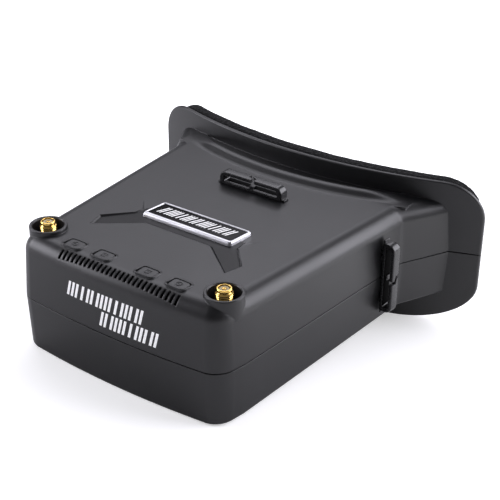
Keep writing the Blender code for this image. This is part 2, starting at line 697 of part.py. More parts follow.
def electronics():
    top = BOARD_Z + BOARD_THICK
    main = bmesh.new()
    box(main, (-60.0, BOARD_Y0, BOARD_Z), (60.0, BOARD_Y1, top))
    board = finish("main_board", main, BOARD)
    boolean(board, cavity_cutter("main_board_liner", 1.0), "INTERSECT")
    for label, x in (("left", -17.0), ("right", 17.0)):
        can = bmesh.new()
        box(can, (x - 13.0, 5.5, BOARD_Z - 3.3), (x + 13.0, 17.5, BOARD_Z - GAP), 0.3)
        finish("receiver_shield_" + label, can, STEEL)
    cell = bmesh.new()
    box(cell, (-29.0, 4.0, BOTTOM + WALL + 0.9), (29.0, 14.0, 3.0), 1.2)
    finish("battery_pack", cell, BATTERY)
    return top


# ---------------------------------------------------------------- top details

def recess_outline():
    """The X-shaped recess round the badge, right half mirrored."""
    right = [(15.3, 36.6), (31.0, 23.9), (32.8, 31.0), (24.0, 41.0), (23.6, 45.0), (41.5, 66.8),
             (36.5, 68.5), (22.6, 54.6)]
    return right + [(-x, y) for x, y in reversed(right)]


def badge_outline(shrink, radius_steps=3):
    """Slanted rounded outline of the badge."""
    y0, y1 = BADGE_Y0 + shrink, BADGE_Y1 - shrink
    half = BADGE_HALF - shrink
    points = rounded_rectangle(-half, y0, half, y1, max(0.4, 1.2 - shrink * 0.5), radius_steps)
    return [(x + BADGE_SLANT * (y - y0) / (y1 - y0), y) for x, y in points]


def badge():
    rim = outline_plate("badge_rim", badge_outline(0.0), RECESS_FLOOR + GAP, top_z(47.0) + 1.3,
                        CHROME)
    hole = outline_plate("badge_rim_hole", badge_outline(1.1), RECESS_FLOOR - 1.0, 30.0)
    boolean(rim, hole)
    outline_plate("badge_plate", badge_outline(1.1 + GAP), RECESS_FLOOR + GAP, top_z(47.0) + 1.1,
                  BLACK_GLOSS)


def top_details(upper):
    boolean(upper, outline_plate("recess_cut", recess_outline(), RECESS_FLOOR, 40.0))
    for x, name in zip(KEY_X, KEY_NAMES):
        collar = rounded_rectangle(x - KEY_W / 2 - 0.95, KEY_Y - KEY_D / 2 - 0.95,
                                   x + KEY_W / 2 + 0.95, KEY_Y + KEY_D / 2 + 0.95, 2.0)
        boolean(upper, outline_plate(name + "_collar", collar, top_z(KEY_Y) - 1.5,
                                     top_z(KEY_Y) + 0.35), "UNION")
        hole = rounded_rectangle(x - KEY_W / 2 - GAP, KEY_Y - KEY_D / 2 - GAP,
                                 x + KEY_W / 2 + GAP, KEY_Y + KEY_D / 2 + GAP, 1.4)
        boolean(upper, outline_plate(name + "_hole", hole, top_z(KEY_Y) - 6.0, 40.0))
    slots = bmesh.new()
    for index in range(VENTS):
        x = VENT_X + index * VENT_PITCH
        box(slots, (x - 0.5, VENT_Y - 1.6, 15.0), (x + 0.5, VENT_Y + 1.4, 40.0))
    boolean(upper, finish("vent_slots", slots))
    for side, label in ((-1, "left"), (1, "right")):
        centre = (side * CUP_X, CUP_Y)
        cup = bmesh.new()
        cylinder(cup, centre, CUP_R, CUP_FLOOR - 1.5, CUP_TOP, 40)
        boolean(upper, finish("cup_" + label, cup), "UNION")
        bore = bmesh.new()
        cylinder(bore, centre, CUP_BORE, CUP_FLOOR, CUP_TOP + 5.0, 40)
        boolean(upper, finish("cup_bore_" + label, bore))
        through = bmesh.new()
        cylinder(through, centre, 3.175 + GAP, BOARD_Z, CUP_FLOOR + 1.0, 24)
        boolean(upper, finish("cup_hole_" + label, through))


def stand_on_table():
    """Pitch the case onto its three resting points and centre it over the origin."""
    CASE.matrix_world = Matrix.Rotation(PITCH, 4, "X")
    bpy.context.view_layer.update()
    graph = bpy.context.evaluated_depsgraph_get()
    points = [part.matrix_world @ vertex.co for part in PARTS.objects if part.type == "MESH"
              for vertex in part.evaluated_get(graph).data.vertices]
    middle_y = (min(p.y for p in points) + max(p.y for p in points)) / 2
    CASE.location = (0.0, -middle_y, -min(p.z for p in points))


def build():
    upper = shell("upper_shell", SEAM, 60.0)
    lower = shell("lower_shell", -60.0, -SEAM)
    screw_holes(upper, lower)
    top_details(upper)
    side_sockets(lower)
    foam = face_slab("foam_face_pad", PLATE_THICK + GAP, FOAM_THICK, FOAM_INSET, FOAM_SIDE_INSET,
                     FOAM)
    boolean(foam, cavity_cutter("foam_opening"))
    for name, side in (("strap_clip_left", -1), ("strap_clip_right", 1), ("strap_clip_top", 0)):
        strap_clip(name, side)
        slots = clip_bodies(name + "_slots", side, GAP, None)
        boolean(upper, slots)
        if side:
            boolean(lower, slots)
    badge()
    optics()
    board_top = electronics()
    for index in range(len(KEY_X)):
        key_stack(index, board_top)
    antenna_set(-1, "left", board_top)
    antenna_set(1, "right", board_top)
    inner_cables()
    names = ("front_left", "front_right", "rear_left", "rear_right")
    for name, centre in zip(names, SCREW_PLACES):
        case_screw("case_screw_" + name, centre)
    stand_on_table()


build()
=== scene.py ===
"""Box-type FPV goggles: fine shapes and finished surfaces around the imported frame.

Lengths are millimetres in the case frame until a piece is placed: +X is right as seen from the
labelled front, -Y points out of that front, +Z is up and the parting plane is z = 0. Placing a
piece pitches it nose-down onto the table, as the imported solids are, and turns it into metres.
"""
from math import atan2, cos, exp, log, pi, radians, sin, sqrt

import bmesh
import bpy
from mathutils import Matrix, Vector, noise


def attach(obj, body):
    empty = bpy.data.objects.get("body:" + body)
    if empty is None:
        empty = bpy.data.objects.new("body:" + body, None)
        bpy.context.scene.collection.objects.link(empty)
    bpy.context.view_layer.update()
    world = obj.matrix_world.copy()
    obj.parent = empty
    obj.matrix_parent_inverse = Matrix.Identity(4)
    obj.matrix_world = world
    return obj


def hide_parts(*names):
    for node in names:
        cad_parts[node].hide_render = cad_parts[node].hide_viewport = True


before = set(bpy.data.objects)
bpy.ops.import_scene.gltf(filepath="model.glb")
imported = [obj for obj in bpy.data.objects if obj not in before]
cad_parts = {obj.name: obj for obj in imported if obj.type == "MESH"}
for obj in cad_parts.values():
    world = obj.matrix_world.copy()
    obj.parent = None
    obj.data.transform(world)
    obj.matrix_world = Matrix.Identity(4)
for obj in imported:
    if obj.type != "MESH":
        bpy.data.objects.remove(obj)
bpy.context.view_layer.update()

MM = 0.001
GAP = 0.3            # play between a moving or fitted part and its opening
FAR = 40.0           # well above the case, for cuts that run out through the top

# Case outline, seen from above
FRONT_HALF, FRONT_BULGE, CORNER = 47.8, 3.0, 9.5
KINK_Y, KINK_HALF, KINK_SOFT = 104.0, 57.5, 0.45
FLARE_Y, FLARE_HALF = 124.0, 68.3
WALL, SEAM = 2.2, 0.2
LIP_POINTS = 46      # how far round the half outline the seam lip runs

# Case profile, seen from the side
TOP, BOTTOM, TAPER = 24.9, -22.3, 0.001
TOP_ROUND, BOTTOM_ROUND, TOP_DRAFT, BOTTOM_DRAFT = 6.8, 1.6, 1.2, 0.7

# Face plate, foam pad and brow ridge
PLATE_HALF, PLATE_TOP, PLATE_LOW = 79.6, 29.8, -34.0
PLATE_Y, PLATE_SAG, PLATE_THICK = 112.0, 16.2, 1.8
PLATE_TOP_CORNER, PLATE_LOW_CORNER = (63.0, 15.3), (45.0, 19.0)
FOAM_THICK, FOAM_INSET, FOAM_NARROW = 7.1, 0.4, 3.4
NOSE_HALF, NOSE_RISE = 24.0, 12.0
BROW_HALF, BROW_RISE, BROW_BACK, BROW_BOW = 56.0, 2.4, 9.5, 0.45
BROW_CREST, BROW_FADE, BROW_SINK = 0.5, 36.0, -1.7

# Controls, cups and sockets
KEY_X, KEY_Y, KEY_W, KEY_D = (-23.8, -10.0, 10.0, 23.8), 7.6, 7.0, 5.0
KEY_ROUND, KEY_PLAY, RIM_PROUD, ICON_DEEP = 1.2, 0.42, 0.75, 0.22
KEY_NAMES = ("key_far_left", "key_left", "key_right", "key_far_right")
VENTS, VENT_PITCH, VENT_HALF, VENT_X, VENT_Y = 27, 2.03, 0.52, -25.0, 1.9
CUP_X, CUP_Y, CUP_R, CUP_BORE, CUP_TOP, CUP_FLOOR = 40.4, 11.0, 7.0, 5.8, 26.2, 19.6
BOARD_TOP, COLLAR_R, COLLAR_BORE, NUT_R, NUT_THICK = 15.6, 2.5, 2.1, 4.0, 1.3
THREAD_R, THREAD_PITCH, THREAD_DEPTH = 3.175, 0.7, 0.33
SLIDER_Y, CHARGE_Y, AV_Y, PORT_Z, SLIDER_TRAVEL = 46.0, 57.0, 69.0, -9.5, 3.0
SCREW_PLACES = ((-44.0, 34.5), (44.0, 34.5), (-47.6, 78.3), (47.6, 78.3))
POST_R, POST_TOP = 3.2, 13.0

# Badge and its recess
RECESS_FLOOR, RECESS_SURFACE_Y = 23.3, 45.0
RECESS_FRONT = [(15.3, 36.6), (31.0, 23.9), (32.8, 31.0), (24.0, 41.0)]
RECESS_REAR = [(23.6, 45.0), (41.5, 66.8), (36.5, 68.5), (22.6, 54.6)]
BADGE_HALF, BADGE_Y0, BADGE_Y1, BADGE_SLANT, BADGE_TOP = 20.8, 40.6, 53.0, 1.3, 25.0

# Lens
LENS_Y, LENS_HALF, LENS_LOW, LENS_HIGH = 86.0, 47.0, -16.0, 18.2
LENS_SEAT, LENS_EDGE, LENS_DOME, LENS_SPREAD = 3.0, 0.6, 4.6, 58.0

# Strap clips
CLIP_LONG, CLIP_PROUD, CLIP_DEEP, CLIP_BAR = 30.0, 5.4, 4.2, 1.5
CLIP_SIDE_Y, CLIP_TOP_Y, CLIP_FOOT, CLIP_CORNER = 92.0, 84.0, -0.25, 3.0
PEG_PLACES, PEG_HALF, PEG_DEEP, PEG_THICK = (-9.5, 9.5), 2.0, 3.4, 1.1

# Printed bars: label lines as (start, bottom, top, bars in each group), and their spacing
LABEL_LINES = ((-20.4, 9.9, 15.7, (3, 1, 2, 4, 1, 3, 2)), (-4.6, 3.1, 8.9, (2, 4, 1, 3, 2)))
LABEL_BAR, LABEL_PITCH, LABEL_SPACE, LABEL_LEAN = 1.1, 1.9, 0.85, 0.22
BADGE_GROUPS, BADGE_START, BADGE_SPACE = (2, 4, 1, 3, 2, 4, 1, 3, 2), -15.8, 0.75
BADGE_BAR, BADGE_TALL, BADGE_LEAN = 0.62, 2.5, 0.45

# How the case lies on the table
REST_FRONT_Y = BOTTOM_DRAFT + BOTTOM_ROUND - FRONT_BULGE
REST_PLATE_Y = PLATE_Y + PLATE_SAG * (NOSE_HALF / PLATE_HALF) ** 2
PITCH = atan2(BOTTOM - PLATE_LOW, REST_PLATE_Y - REST_FRONT_Y)
CASE_ORIGIN = (0.0, -0.0668204, 0.0222707)       # in metres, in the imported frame
CASE = Matrix.Translation(CASE_ORIGIN) @ Matrix.Rotation(PITCH, 4, "X")
PLACE = CASE @ Matrix.Scale(MM, 4)

# Studio: levels of the floor's glow, with the painted glow that only its reflections show, and of
# the sky, softboxes in metres and watts, and the view
FLOOR_LIFT_NEAR, FLOOR_LIFT_FAR, FLOOR_PAINTED_GLOW, FLOOR_PAINTED_GLOW_LEAN = 0.48, 1.0, 0.8, (0.75, 0.65, 0.0)
SKY_LEAN, SKY_DARK, SKY_BRIGHT = (-0.45, 0.75, 0.35), 0.1, 0.27
STUDIO_TINT, PLAIN_WHITE = (0.93, 0.92, 1.0), (1.0, 1.0, 1.0)
SOFTBOXES = {"back_left_softbox": ((-0.45, 0.45, 0.95), (0.0, 0.0, 0.0), (0.9, 0.9), 6.5),
             "left_softbox": ((-0.75, -0.45, 0.35), (0.0, -0.02, 0.03), (0.5, 0.5), 6.5),
             "right_softbox": ((0.85, 0.75, 0.6), (0.15, 0.12, 0.0), (1.2, 1.0), 22.0)}
AZIMUTH, ELEVATION, ROLL = radians(35.4171), radians(29.0936), radians(0.4508)
CAMERA_SPOT, FOCAL_LENGTH, SENSOR = (242.342, -258.434, 229.433), 84.98, 36.0


# ---------------------------------------------------------------- mesh helpers

def new_object(name, data):
    made = bpy.data.objects.new(name, data)
    bpy.context.scene.collection.objects.link(made)
    return made


def applied(obj):
    """The mesh that an object's modifiers leave."""
    graph = bpy.context.evaluated_depsgraph_get()
    return bpy.data.meshes.new_from_object(obj.evaluated_get(graph))


def as_mesh(bm):
    bmesh.ops.recalc_face_normals(bm, faces=bm.faces)
    mesh = bpy.data.meshes.new("work")
    bm.to_mesh(mesh)
    bm.free()
    return mesh


def add_to(bm, other):
    """Move one bmesh's contents into another."""
    mesh = as_mesh(other)
    bm.from_mesh(mesh)
    bpy.data.meshes.remove(mesh)


def loft(bm, rings, closed=False):
    """Skin closed rings that have the same number of points; cap the ends or join them up."""
    rows = [[bm.verts.new(point) for point in ring] for ring in rings]
    count = len(rows[0])
    pairs = list(zip(rows, rows[1:])) + ([(rows[-1], rows[0])] if closed else [])
    for lower, upper in pairs:
        for i in range(count):
            j = (i + 1) % count
            bm.faces.new((lower[i], lower[j], upper[j], upper[i]))
    if not closed:
        bm.faces.new(rows[0][::-1])
        bm.faces.new(rows[-1])


def lofted(rings, closed=False):
    bm = bmesh.new()
    loft(bm, rings, closed)
    return as_mesh(bm)


def box(bm, low, high):
    low, high = Vector(low), Vector(high)
    made = bmesh.ops.create_cube(bm, size=1.0)["verts"]
    bmesh.ops.scale(bm, vec=high - low, verts=made)
    bmesh.ops.translate(bm, vec=(low + high) / 2, verts=made)


def prism(bm, outline, z0, z1):
    """An upright block over an outline; each end height is a number or a function of x, y."""
    low = z0 if callable(z0) else lambda x, y: z0
    high = z1 if callable(z1) else lambda x, y: z1
    loft(bm, [[(x, y, low(x, y)) for x, y in outline], [(x, y, high(x, y)) for x, y in outline]])


def disc(x, y, radius, steps, turn=0.0):
    turns = [2 * pi * step / steps + turn for step in range(steps)]
    return [(x + radius * cos(a), y + radius * sin(a)) for a in turns]


def lathe(bm, profile, centre, steps=64):
    """A turning about an upright axis: profile points are (radius, height)."""
    loft(bm, [[(x, y, z) for x, y in disc(*centre, r, steps)] for r, z in profile])


def mirrored(right):
    return right + [(-x, y) for x, y in reversed(right)]


def offset(outline, distance):
    """A mitred outline, outwards for a positive distance; the points run anticlockwise."""
    moved = []
    for before, here, after in zip(outline[-1:] + outline[:-1], outline, outline[1:] + outline[:1]):
        into = Vector((here[0] - before[0], here[1] - before[1])).normalized()
        out = Vector((after[0] - here[0], after[1] - here[1])).normalized()
        side = Vector((into.y + out.y, -into.x - out.x))
        side *= distance / max(0.2, (1 + into.dot(out)))
        moved.append((here[0] + side.x, here[1] + side.y))
    return moved


def soften(bm, width, angle=50.0, segments=2):
    """Round every edge that is sharper than the angle."""
    bmesh.ops.recalc_face_normals(bm, faces=bm.faces)
    sharp = [e for e in bm.edges if len(e.link_faces) == 2
             and e.calc_face_angle(0.0) > radians(angle)]
    bmesh.ops.bevel(bm, geom=sharp, offset=width, segments=segments, profile=0.5,
                    affect="EDGES", clamp_overlap=True)


def rounded_block(outline, z0, z1, width, angle=50.0, segments=2):
    bm = bmesh.new()
    prism(bm, outline, z0, z1)
    soften(bm, width, angle, segments)
    return bm


def boolean(base, tool, operation="DIFFERENCE"):
    """The Boolean of two loose meshes, both of which are used up."""
    work = [new_object("work", mesh) for mesh in (base, tool)]
    modifier = work[0].modifiers.new("cut", "BOOLEAN")
    modifier.operation, modifier.solver, modifier.object = operation, "EXACT", work[1]
    result = applied(work[0])
    for obj, mesh in zip(work, (base, tool)):
        bpy.data.objects.remove(obj)
        bpy.data.meshes.remove(mesh)
    return result


def settle(name, mesh, material, body="case", replaces=(), smooth=32.0):
    """Place a finished case-frame mesh as a piece that rides on a body."""
    mesh.transform(PLACE)
    mesh.name = name
    mesh.materials.clear()
    mesh.materials.append(material)
    mesh.shade_smooth()
    mesh.set_sharp_from_angle(angle=radians(smooth))
    piece = new_object(name, mesh)
    piece.modifiers.new("normals", "WEIGHTED_NORMAL").keep_sharp = True
    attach(piece, body)
    if replaces:
        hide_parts(*replaces)
    return piece


def rounded_rectangle(x0, y0, x1, y1, radius, steps=6):
    points = []
    corners = ((x1 - radius, y1 - radius, 0), (x0 + radius, y1 - radius, 1),
               (x0 + radius, y0 + radius, 2), (x1 - radius, y0 + radius, 3))
    for cx, cy, quarter in corners:
        for step in range(steps + 1):
            angle = (quarter + step / steps) * pi / 2
            points.append((cx + radius * cos(angle), cy + radius * sin(angle)))
    return points


# ---------------------------------------------------------------- the case form

def wall_half(y):
    """Half width of the case, with a small round where the side wall turns out to the plate."""
    near = (KINK_HALF - FRONT_HALF) / KINK_Y
    far = (FLARE_HALF - KINK_HALF) / (FLARE_Y - KINK_Y)
    t = (y - KINK_Y) / KINK_SOFT
    bend = KINK_SOFT * (t if t > 30 else log(1 + exp(t)))
    return FRONT_HALF + near * y + (far - near) * bend


def wall_lean(y):
    slope = (wall_half(y + 0.1) - wall_half(y - 0.1)) / 0.2
    return sqrt(1 + slope * slope)


def front_y(x):
    return -FRONT_BULGE * (1 - (x / FRONT_HALF) ** 2)


def plate_y(x):
    return PLATE_Y + PLATE_SAG * (x / PLATE_HALF) ** 2


def top_z(y):
    return TOP * (1 - TAPER * y)


def bottom_z(y):
    return BOTTOM * (1 - TAPER * y)


def front_inset(z):
    """How far the drafted front stands back at a height."""
    return TOP_DRAFT * z / (TOP - TOP_ROUND) if z > 0 else BOTTOM_DRAFT * z / BOTTOM


WALL_STATIONS = [12.0 + 8.0 * i for i in range(11)]
WALL_STATIONS += [97.0, 100.0, 102.0, 103.0, 103.5, 104.0, 104.5, 105.0, 106.0, 109.0, 113.0,
                  117.0, 120.5]


def half_outline(inset, rear):
    """Right half of the case seen from above, from the front middle to the rear middle."""
    radius, edge = CORNER - inset, FRONT_HALF - CORNER
    points = [(edge * i / 12, front_y(edge * i / 12) + inset) for i in range(12)]
    centre = Vector((edge + 0.25, front_y(edge) + CORNER))
    for step in range(15):
        angle = radians(-80 + 75 * step / 14)
        points.append((centre.x + radius * cos(angle), centre.y + radius * sin(angle)))
    points += [(wall_half(y) - inset * wall_lean(y), y) for y in WALL_STATIONS]
    corner_y = rear or FLARE_Y
    corner_x = wall_half(corner_y) - inset * wall_lean(corner_y)
    for step in range(17):
        x = corner_x * (1 - step / 16)
        points.append((x, rear or plate_y(x) + PLATE_THICK / 2))
    return points


def case_ring(inset, z, rear=None):
    right = half_outline(inset, rear)
    left = [(-x, y) for x, y in right[-2:0:-1]]
    return [(x, y, z * (1 - TAPER * y)) for x, y in right + left]


def case_levels():
    """Insets and heights that round the lower edges a little and the upper edges well over."""
    levels = []
    for step in range(6):
        angle = step / 5 * pi / 2
        levels.append((BOTTOM_DRAFT + BOTTOM_ROUND * (1 - sin(angle)),
                       BOTTOM + BOTTOM_ROUND * (1 - cos(angle))))
    levels += [(BOTTOM_DRAFT * share, (BOTTOM + BOTTOM_ROUND) * share)
               for share in (0.75, 0.5, 0.25)]
    levels.append((0.0, 0.0))
    wall_top = TOP - TOP_ROUND
    levels += [(TOP_DRAFT * share, wall_top * share) for share in (0.25, 0.5, 0.75)]
    for step in range(15):
        angle = step / 14 * pi / 2
        levels.append((TOP_DRAFT + TOP_ROUND * (1 - cos(angle)),
                       TOP - TOP_ROUND * (1 - sin(angle))))
    return levels


def cavity():
    """The space inside the case, open at the back, with softened inner corners."""
    low, high = BOTTOM + WALL, TOP - WALL
    levels = [(BOTTOM_DRAFT + WALL + 0.8, low), (BOTTOM_DRAFT + WALL + 0.2, low + 0.8), (WALL, 0.0),
              (TOP_DRAFT + WALL + 0.1, high - 4.7)]
    levels += [(TOP_DRAFT + WALL + 4.5 * (1 - cos(a)), high - 4.5 * (1 - sin(a)))
               for a in (pi / 8, pi / 4, 3 * pi / 8, pi / 2)]
    return lofted([case_ring(inset, z, rear=FLARE_Y + 20.0) for inset, z in levels])


def plate_top(x, inset=0.0):
    start, drop = PLATE_TOP_CORNER
    u = min(1.0, max(0.0, (abs(x) - start) / (PLATE_HALF - inset - start)))
    return PLATE_TOP - inset - (drop - inset) * (1 - sqrt(1 - u * u))


def plate_low(x, inset=0.0):
    if abs(x) < NOSE_HALF:
        return PLATE_LOW + inset + NOSE_RISE * cos(pi * x / (2 * NOSE_HALF)) ** 2
    start, rise = PLATE_LOW_CORNER
    u = min(1.0, max(0.0, (abs(x) - start) / (PLATE_HALF - inset - start)))
    return PLATE_LOW + inset + (rise - inset) * (1 - sqrt(1 - u * u))


def plate_stations(inset):
    """Places across the plate, closest together round the nose arch and in the corners."""
    start = PLATE_TOP_CORNER[0]
    steps = [NOSE_HALF * i / 14 for i in range(15)] + [NOSE_HALF + 3.0 * i for i in range(1, 14)]
    steps += [start + (PLATE_HALF - inset - start) * sin(i / 14 * pi / 2) for i in range(1, 15)]
    return [-x for x in steps[:0:-1]] + steps


def strip(bm, near, far):
    """A band of four-sided faces between two rows of points."""
    for i in range(len(near) - 1):
        bm.faces.new((near[i], near[i + 1], far[i + 1], far[i]))


def face_slab(y_offset, thickness, inset=0.0, narrow=0.0, edge=0.9, steps=4):
    """A slab bowed like the face plate, with its rim rounded over front and back."""
    bm = bmesh.new()
    turns = [i / steps * pi / 2 for i in range(steps + 1)]
    layers = [(edge * (1 - sin(a)), edge * (1 - cos(a))) for a in turns]
    layers += [(back, thickness - depth) for back, depth in layers[::-1]]
    heights = 9
    sheets = []
    for back, depth in layers:
        sheet = []
        for x in plate_stations(inset + back):
            top, low = plate_top(x, inset + back), plate_low(x, inset + back)
            side = x * (1 - narrow / PLATE_HALF)
            y = plate_y(side) + y_offset + depth
            sheet.append([bm.verts.new((side, y, low + (top - low) * i / (heights - 1)))
                          for i in range(heights)])
        sheets.append(sheet)
    last, top = len(sheets[0]) - 1, heights - 1
    for sheet in (sheets[0], sheets[-1]):
        for near, far in zip(sheet, sheet[1:]):
            strip(bm, near, far)
    for front, rear in zip(sheets, sheets[1:]):
        for column in (0, last):
            strip(bm, front[column], rear[column])
        for i in (0, top):
            strip(bm, [column[i] for column in front], [column[i] for column in rear])
    for vertex in [v for v in bm.verts if not v.link_faces]:
        bm.verts.remove(vertex)
    return bm


# Section of the ridge: (distance back, share of its height)
BROW_SECTION = ((-6.4, -0.35), (-5.2, -0.1), (-4.2, 0.08), (-3.4, 0.2), (-2.8, 0.35), (-2.2, 0.55),
                (-1.6, 0.75), (-1.0, 0.9), (-0.3, 0.98), (0.5, 1.0), (1.2, 0.97), (1.8, 0.88),
                (2.4, 0.68), (2.9, 0.4), (3.2, 0.0), (3.4, -0.5))


def brow():
    """The curved ridge in front of the face plate; it sinks into the surface at both ends."""
    corner_y = PLATE_Y + 0.5 * PLATE_SAG - 0.55 * BROW_BACK
    flat = wall_half(corner_y) - TOP_DRAFT - TOP_ROUND
    rings = []
    for step in range(61):
        x = flat * (step / 30 - 1)
        middle = plate_y(x) - BROW_BACK * (1 - BROW_BOW * (x / BROW_HALF) ** 2)
        fade = min(1.0, max(0.0, (abs(x) - BROW_FADE) / (flat - BROW_FADE)))
        fade = fade * fade * (3 - 2 * fade)
        strength = 1 - 1.03 * fade
        reach = plate_y(x) + 1.0 - middle
        profile = []
        for y, share in BROW_SECTION:
            if y > BROW_CREST:
                back = (y - BROW_CREST) / (BROW_SECTION[-1][0] - BROW_CREST)
                share += fade * (1.0 + 0.12 * back - share)
                y += fade * (BROW_CREST + back * (reach - BROW_CREST) - y)
            profile.append((y, BROW_RISE * share * strength))
        profile += [(profile[-1][0], BROW_SINK), (BROW_SECTION[0][0], BROW_SINK)]
        rings.append([(x, middle + y, top_z(middle + y) + out) for y, out in profile])
    return lofted(rings)


def screw_posts():
    """Posts that the case screws run up, and the webs that tie them to the side walls."""
    posts, webs = bmesh.new(), bmesh.new()
    for x, y in SCREW_PLACES:
        wall = (wall_half(y) - 1.5) * (1 if x > 0 else -1)
        low = bottom_z(y)
        prism(posts, disc(x, y, POST_R, 32), low + 1.0, POST_TOP)
        box(webs, (min(x, wall), y - 0.9, low + 1.3), (max(x, wall), y + 0.9, POST_TOP - 0.7))
    return as_mesh(posts), as_mesh(webs)


def half_space(low, high):
    """Everything between two heights, to keep one side of the seam."""
    bm = bmesh.new()
    box(bm, (-120.0, -40.0, low), (120.0, 200.0, high))
    return as_mesh(bm)


def seam_lip():
    """The lip inside the lower shell that stands behind the seam on the front and the sides."""
    section = ((2.0, -1.8), (2.0, -0.4), (2.35, -SEAM), (2.35, 1.2), (3.0, 1.2), (3.0, -1.8))
    runs = []
    for inset, z in section:
        right = half_outline(inset, FLARE_Y)[:LIP_POINTS]
        runs.append([(-x, y, z) for x, y in right[:0:-1]] + [(x, y, z) for x, y in right])
    return lofted(list(zip(*runs)))


def hollow_form(with_brow):
    """The case with its face plate, hollowed out, with screw posts inside."""
    form = boolean(lofted([case_ring(inset, z) for inset, z in case_levels()]),
                   as_mesh(face_slab(0.0, PLATE_THICK, edge=0.6)), "UNION")
    if with_brow:
        form = boolean(form, brow(), "UNION")
    form = boolean(form, cavity())
    for extra in screw_posts():
        form = boolean(form, extra, "UNION")
    return form


def recess_ramp(y):
    """The rear arms of the recess run out into the surface."""
    return 0.95 * max(0.0, (y - 48.0) / 20.0)


def key_outline(x, grow, radius):
    return rounded_rectangle(x - KEY_W / 2 - grow, KEY_Y - KEY_D / 2 - grow,
                             x + KEY_W / 2 + grow, KEY_Y + KEY_D / 2 + grow, radius)


def rim_height(x, y):
    """Key rims stand proud in front and die away towards the back."""
    return top_z(y) + RIM_PROUD - 0.5 * (y - KEY_Y + KEY_D / 2) / KEY_D


def upper_additions():
    """Key rims and antenna cups, which stand on the outside of the top."""
    bm = bmesh.new()
    for x in KEY_X:
        add_to(bm, rounded_block(key_outline(x, 1.0, 2.0), top_z(KEY_Y) - 1.4, rim_height, 0.25))
    outer, surface = CUP_R + 0.05, top_z(CUP_Y)
    profile = [(CUP_R, CUP_FLOOR - 1.5), (outer, surface - 0.4), (outer, CUP_TOP - 0.3),
               (CUP_R - 0.05, CUP_TOP - 0.1), (CUP_R - 0.2, CUP_TOP)]
    for side in (-1, 1):
        lathe(bm, profile, (side * CUP_X, CUP_Y), 72)
    return as_mesh(bm)


def upper_cuts():
    """Badge recess, key openings, vent slots and cup bores."""
    bm = bmesh.new()
    shape = mirrored(RECESS_FRONT + RECESS_REAR)
    surface = top_z(RECESS_SURFACE_Y)
    rings = [(-0.25, RECESS_FLOOR, 1), (0.0, RECESS_FLOOR + 0.2, 1), (0.0, surface - 0.25, 1),
             (0.3, surface + 0.1, 1), (0.3, FAR, 0)]
    loft(bm, [[(x, y, z + ramped * recess_ramp(y)) for x, y in offset(shape, grow)]
              for grow, z, ramped in rings])
    for x in KEY_X:
        prism(bm, key_outline(x, KEY_PLAY, 1.5), top_z(KEY_Y) - 6.0, FAR)
    for x in (VENT_X + index * VENT_PITCH for index in range(VENTS)):
        box(bm, (x - VENT_HALF, VENT_Y - 1.7, 14.0), (x + VENT_HALF, VENT_Y + 1.3, FAR))
    flare = CUP_BORE + 0.4
    bore = [(THREAD_R + GAP, 12.0), (THREAD_R + GAP, CUP_FLOOR), (CUP_BORE - 0.3, CUP_FLOOR),
            (CUP_BORE, CUP_FLOOR + 0.3), (CUP_BORE, CUP_TOP - 0.35),
            (CUP_BORE + 0.25, CUP_TOP - 0.08), (flare, CUP_TOP + 0.3), (flare, FAR)]
    for side in (-1, 1):
        lathe(bm, bore, (side * CUP_X, CUP_Y), 72)
    return as_mesh(bm)


def wall_frame(y, z):
    """Axes on the left side wall: along the wall, up, and out of the case."""
    lean = atan2(KINK_HALF - FRONT_HALF, KINK_Y)
    along, up = Vector((-sin(lean), cos(lean), 0.0)), Vector((0.0, 0.0, 1.0))
    out = Vector((-cos(lean), -sin(lean), 0.0))
    spot = Vector((-wall_half(y) + 0.3, y, z))
    return Matrix.Translation(spot) @ Matrix((along, up, out)).transposed().to_4x4()


def lower_cuts():
    """Sunk screw seats underneath, and the openings for the sockets and the power slider."""
    bm = bmesh.new()
    for x, y in SCREW_PLACES:
        floor = bottom_z(y)
        lathe(bm, [(3.1, floor - 3.0), (3.1, floor), (2.8, floor + 0.3), (2.8, floor + 3.6),
                   (1.5, floor + 3.6), (1.5, 2.0)], (x, y), 32)
    reach = SLIDER_TRAVEL / 2
    slots = ((SLIDER_Y, 2.1 + reach, 1.6, 0.5, 3), (CHARGE_Y, 4.4, 1.9, 0.9, 4),
             (AV_Y, 3.4, 3.4, 3.39, 8))
    for y, half, tall, radius, steps in slots:
        opening = bmesh.new()
        prism(opening, rounded_rectangle(-half, -tall, half, tall, radius, steps), -4.0, 3.0)
        bmesh.ops.transform(opening, matrix=wall_frame(y, PORT_Z), verts=opening.verts)
        add_to(bm, opening)
    return as_mesh(bm)


def tidy_shell(mesh):
    """Weld the points that the cuts left almost on top of each other."""
    bm = bmesh.new()
    bm.from_mesh(mesh)
    bmesh.ops.remove_doubles(bm, verts=bm.verts, dist=0.004)
    bmesh.ops.dissolve_degenerate(bm, edges=bm.edges, dist=0.002)
    bpy.data.meshes.remove(mesh)
    return as_mesh(bm)


# ---------------------------------------------------------------- finishes

def add(tree, kind, inputs=None, **settings):
    """Add a shader node; an input given as a socket is linked and any other value is set."""
    made = tree.nodes.new("ShaderNode" + kind)
    for key, value in settings.items():
        setattr(made, key, value)
    for key, value in (inputs or {}).items():
        if isinstance(value, bpy.types.NodeSocket):
            tree.links.new(value, made.inputs[key])
        else:
            made.inputs[key].default_value = value
    return made


def new_group(name, inputs, outputs):
    """A node group with named value or colour sockets; returns it with its inner ends."""
    tree = bpy.data.node_groups.new(name, "ShaderNodeTree")
    for socket, default in inputs:
        made = tree.interface.new_socket(name=socket, in_out="INPUT", socket_type="NodeSocketFloat")
        made.default_value = default
    for socket, kind in outputs:
        tree.interface.new_socket(name=socket, in_out="OUTPUT", socket_type="NodeSocket" + kind)
    return tree, tree.nodes.new("NodeGroupInput"), tree.nodes.new("NodeGroupOutput")


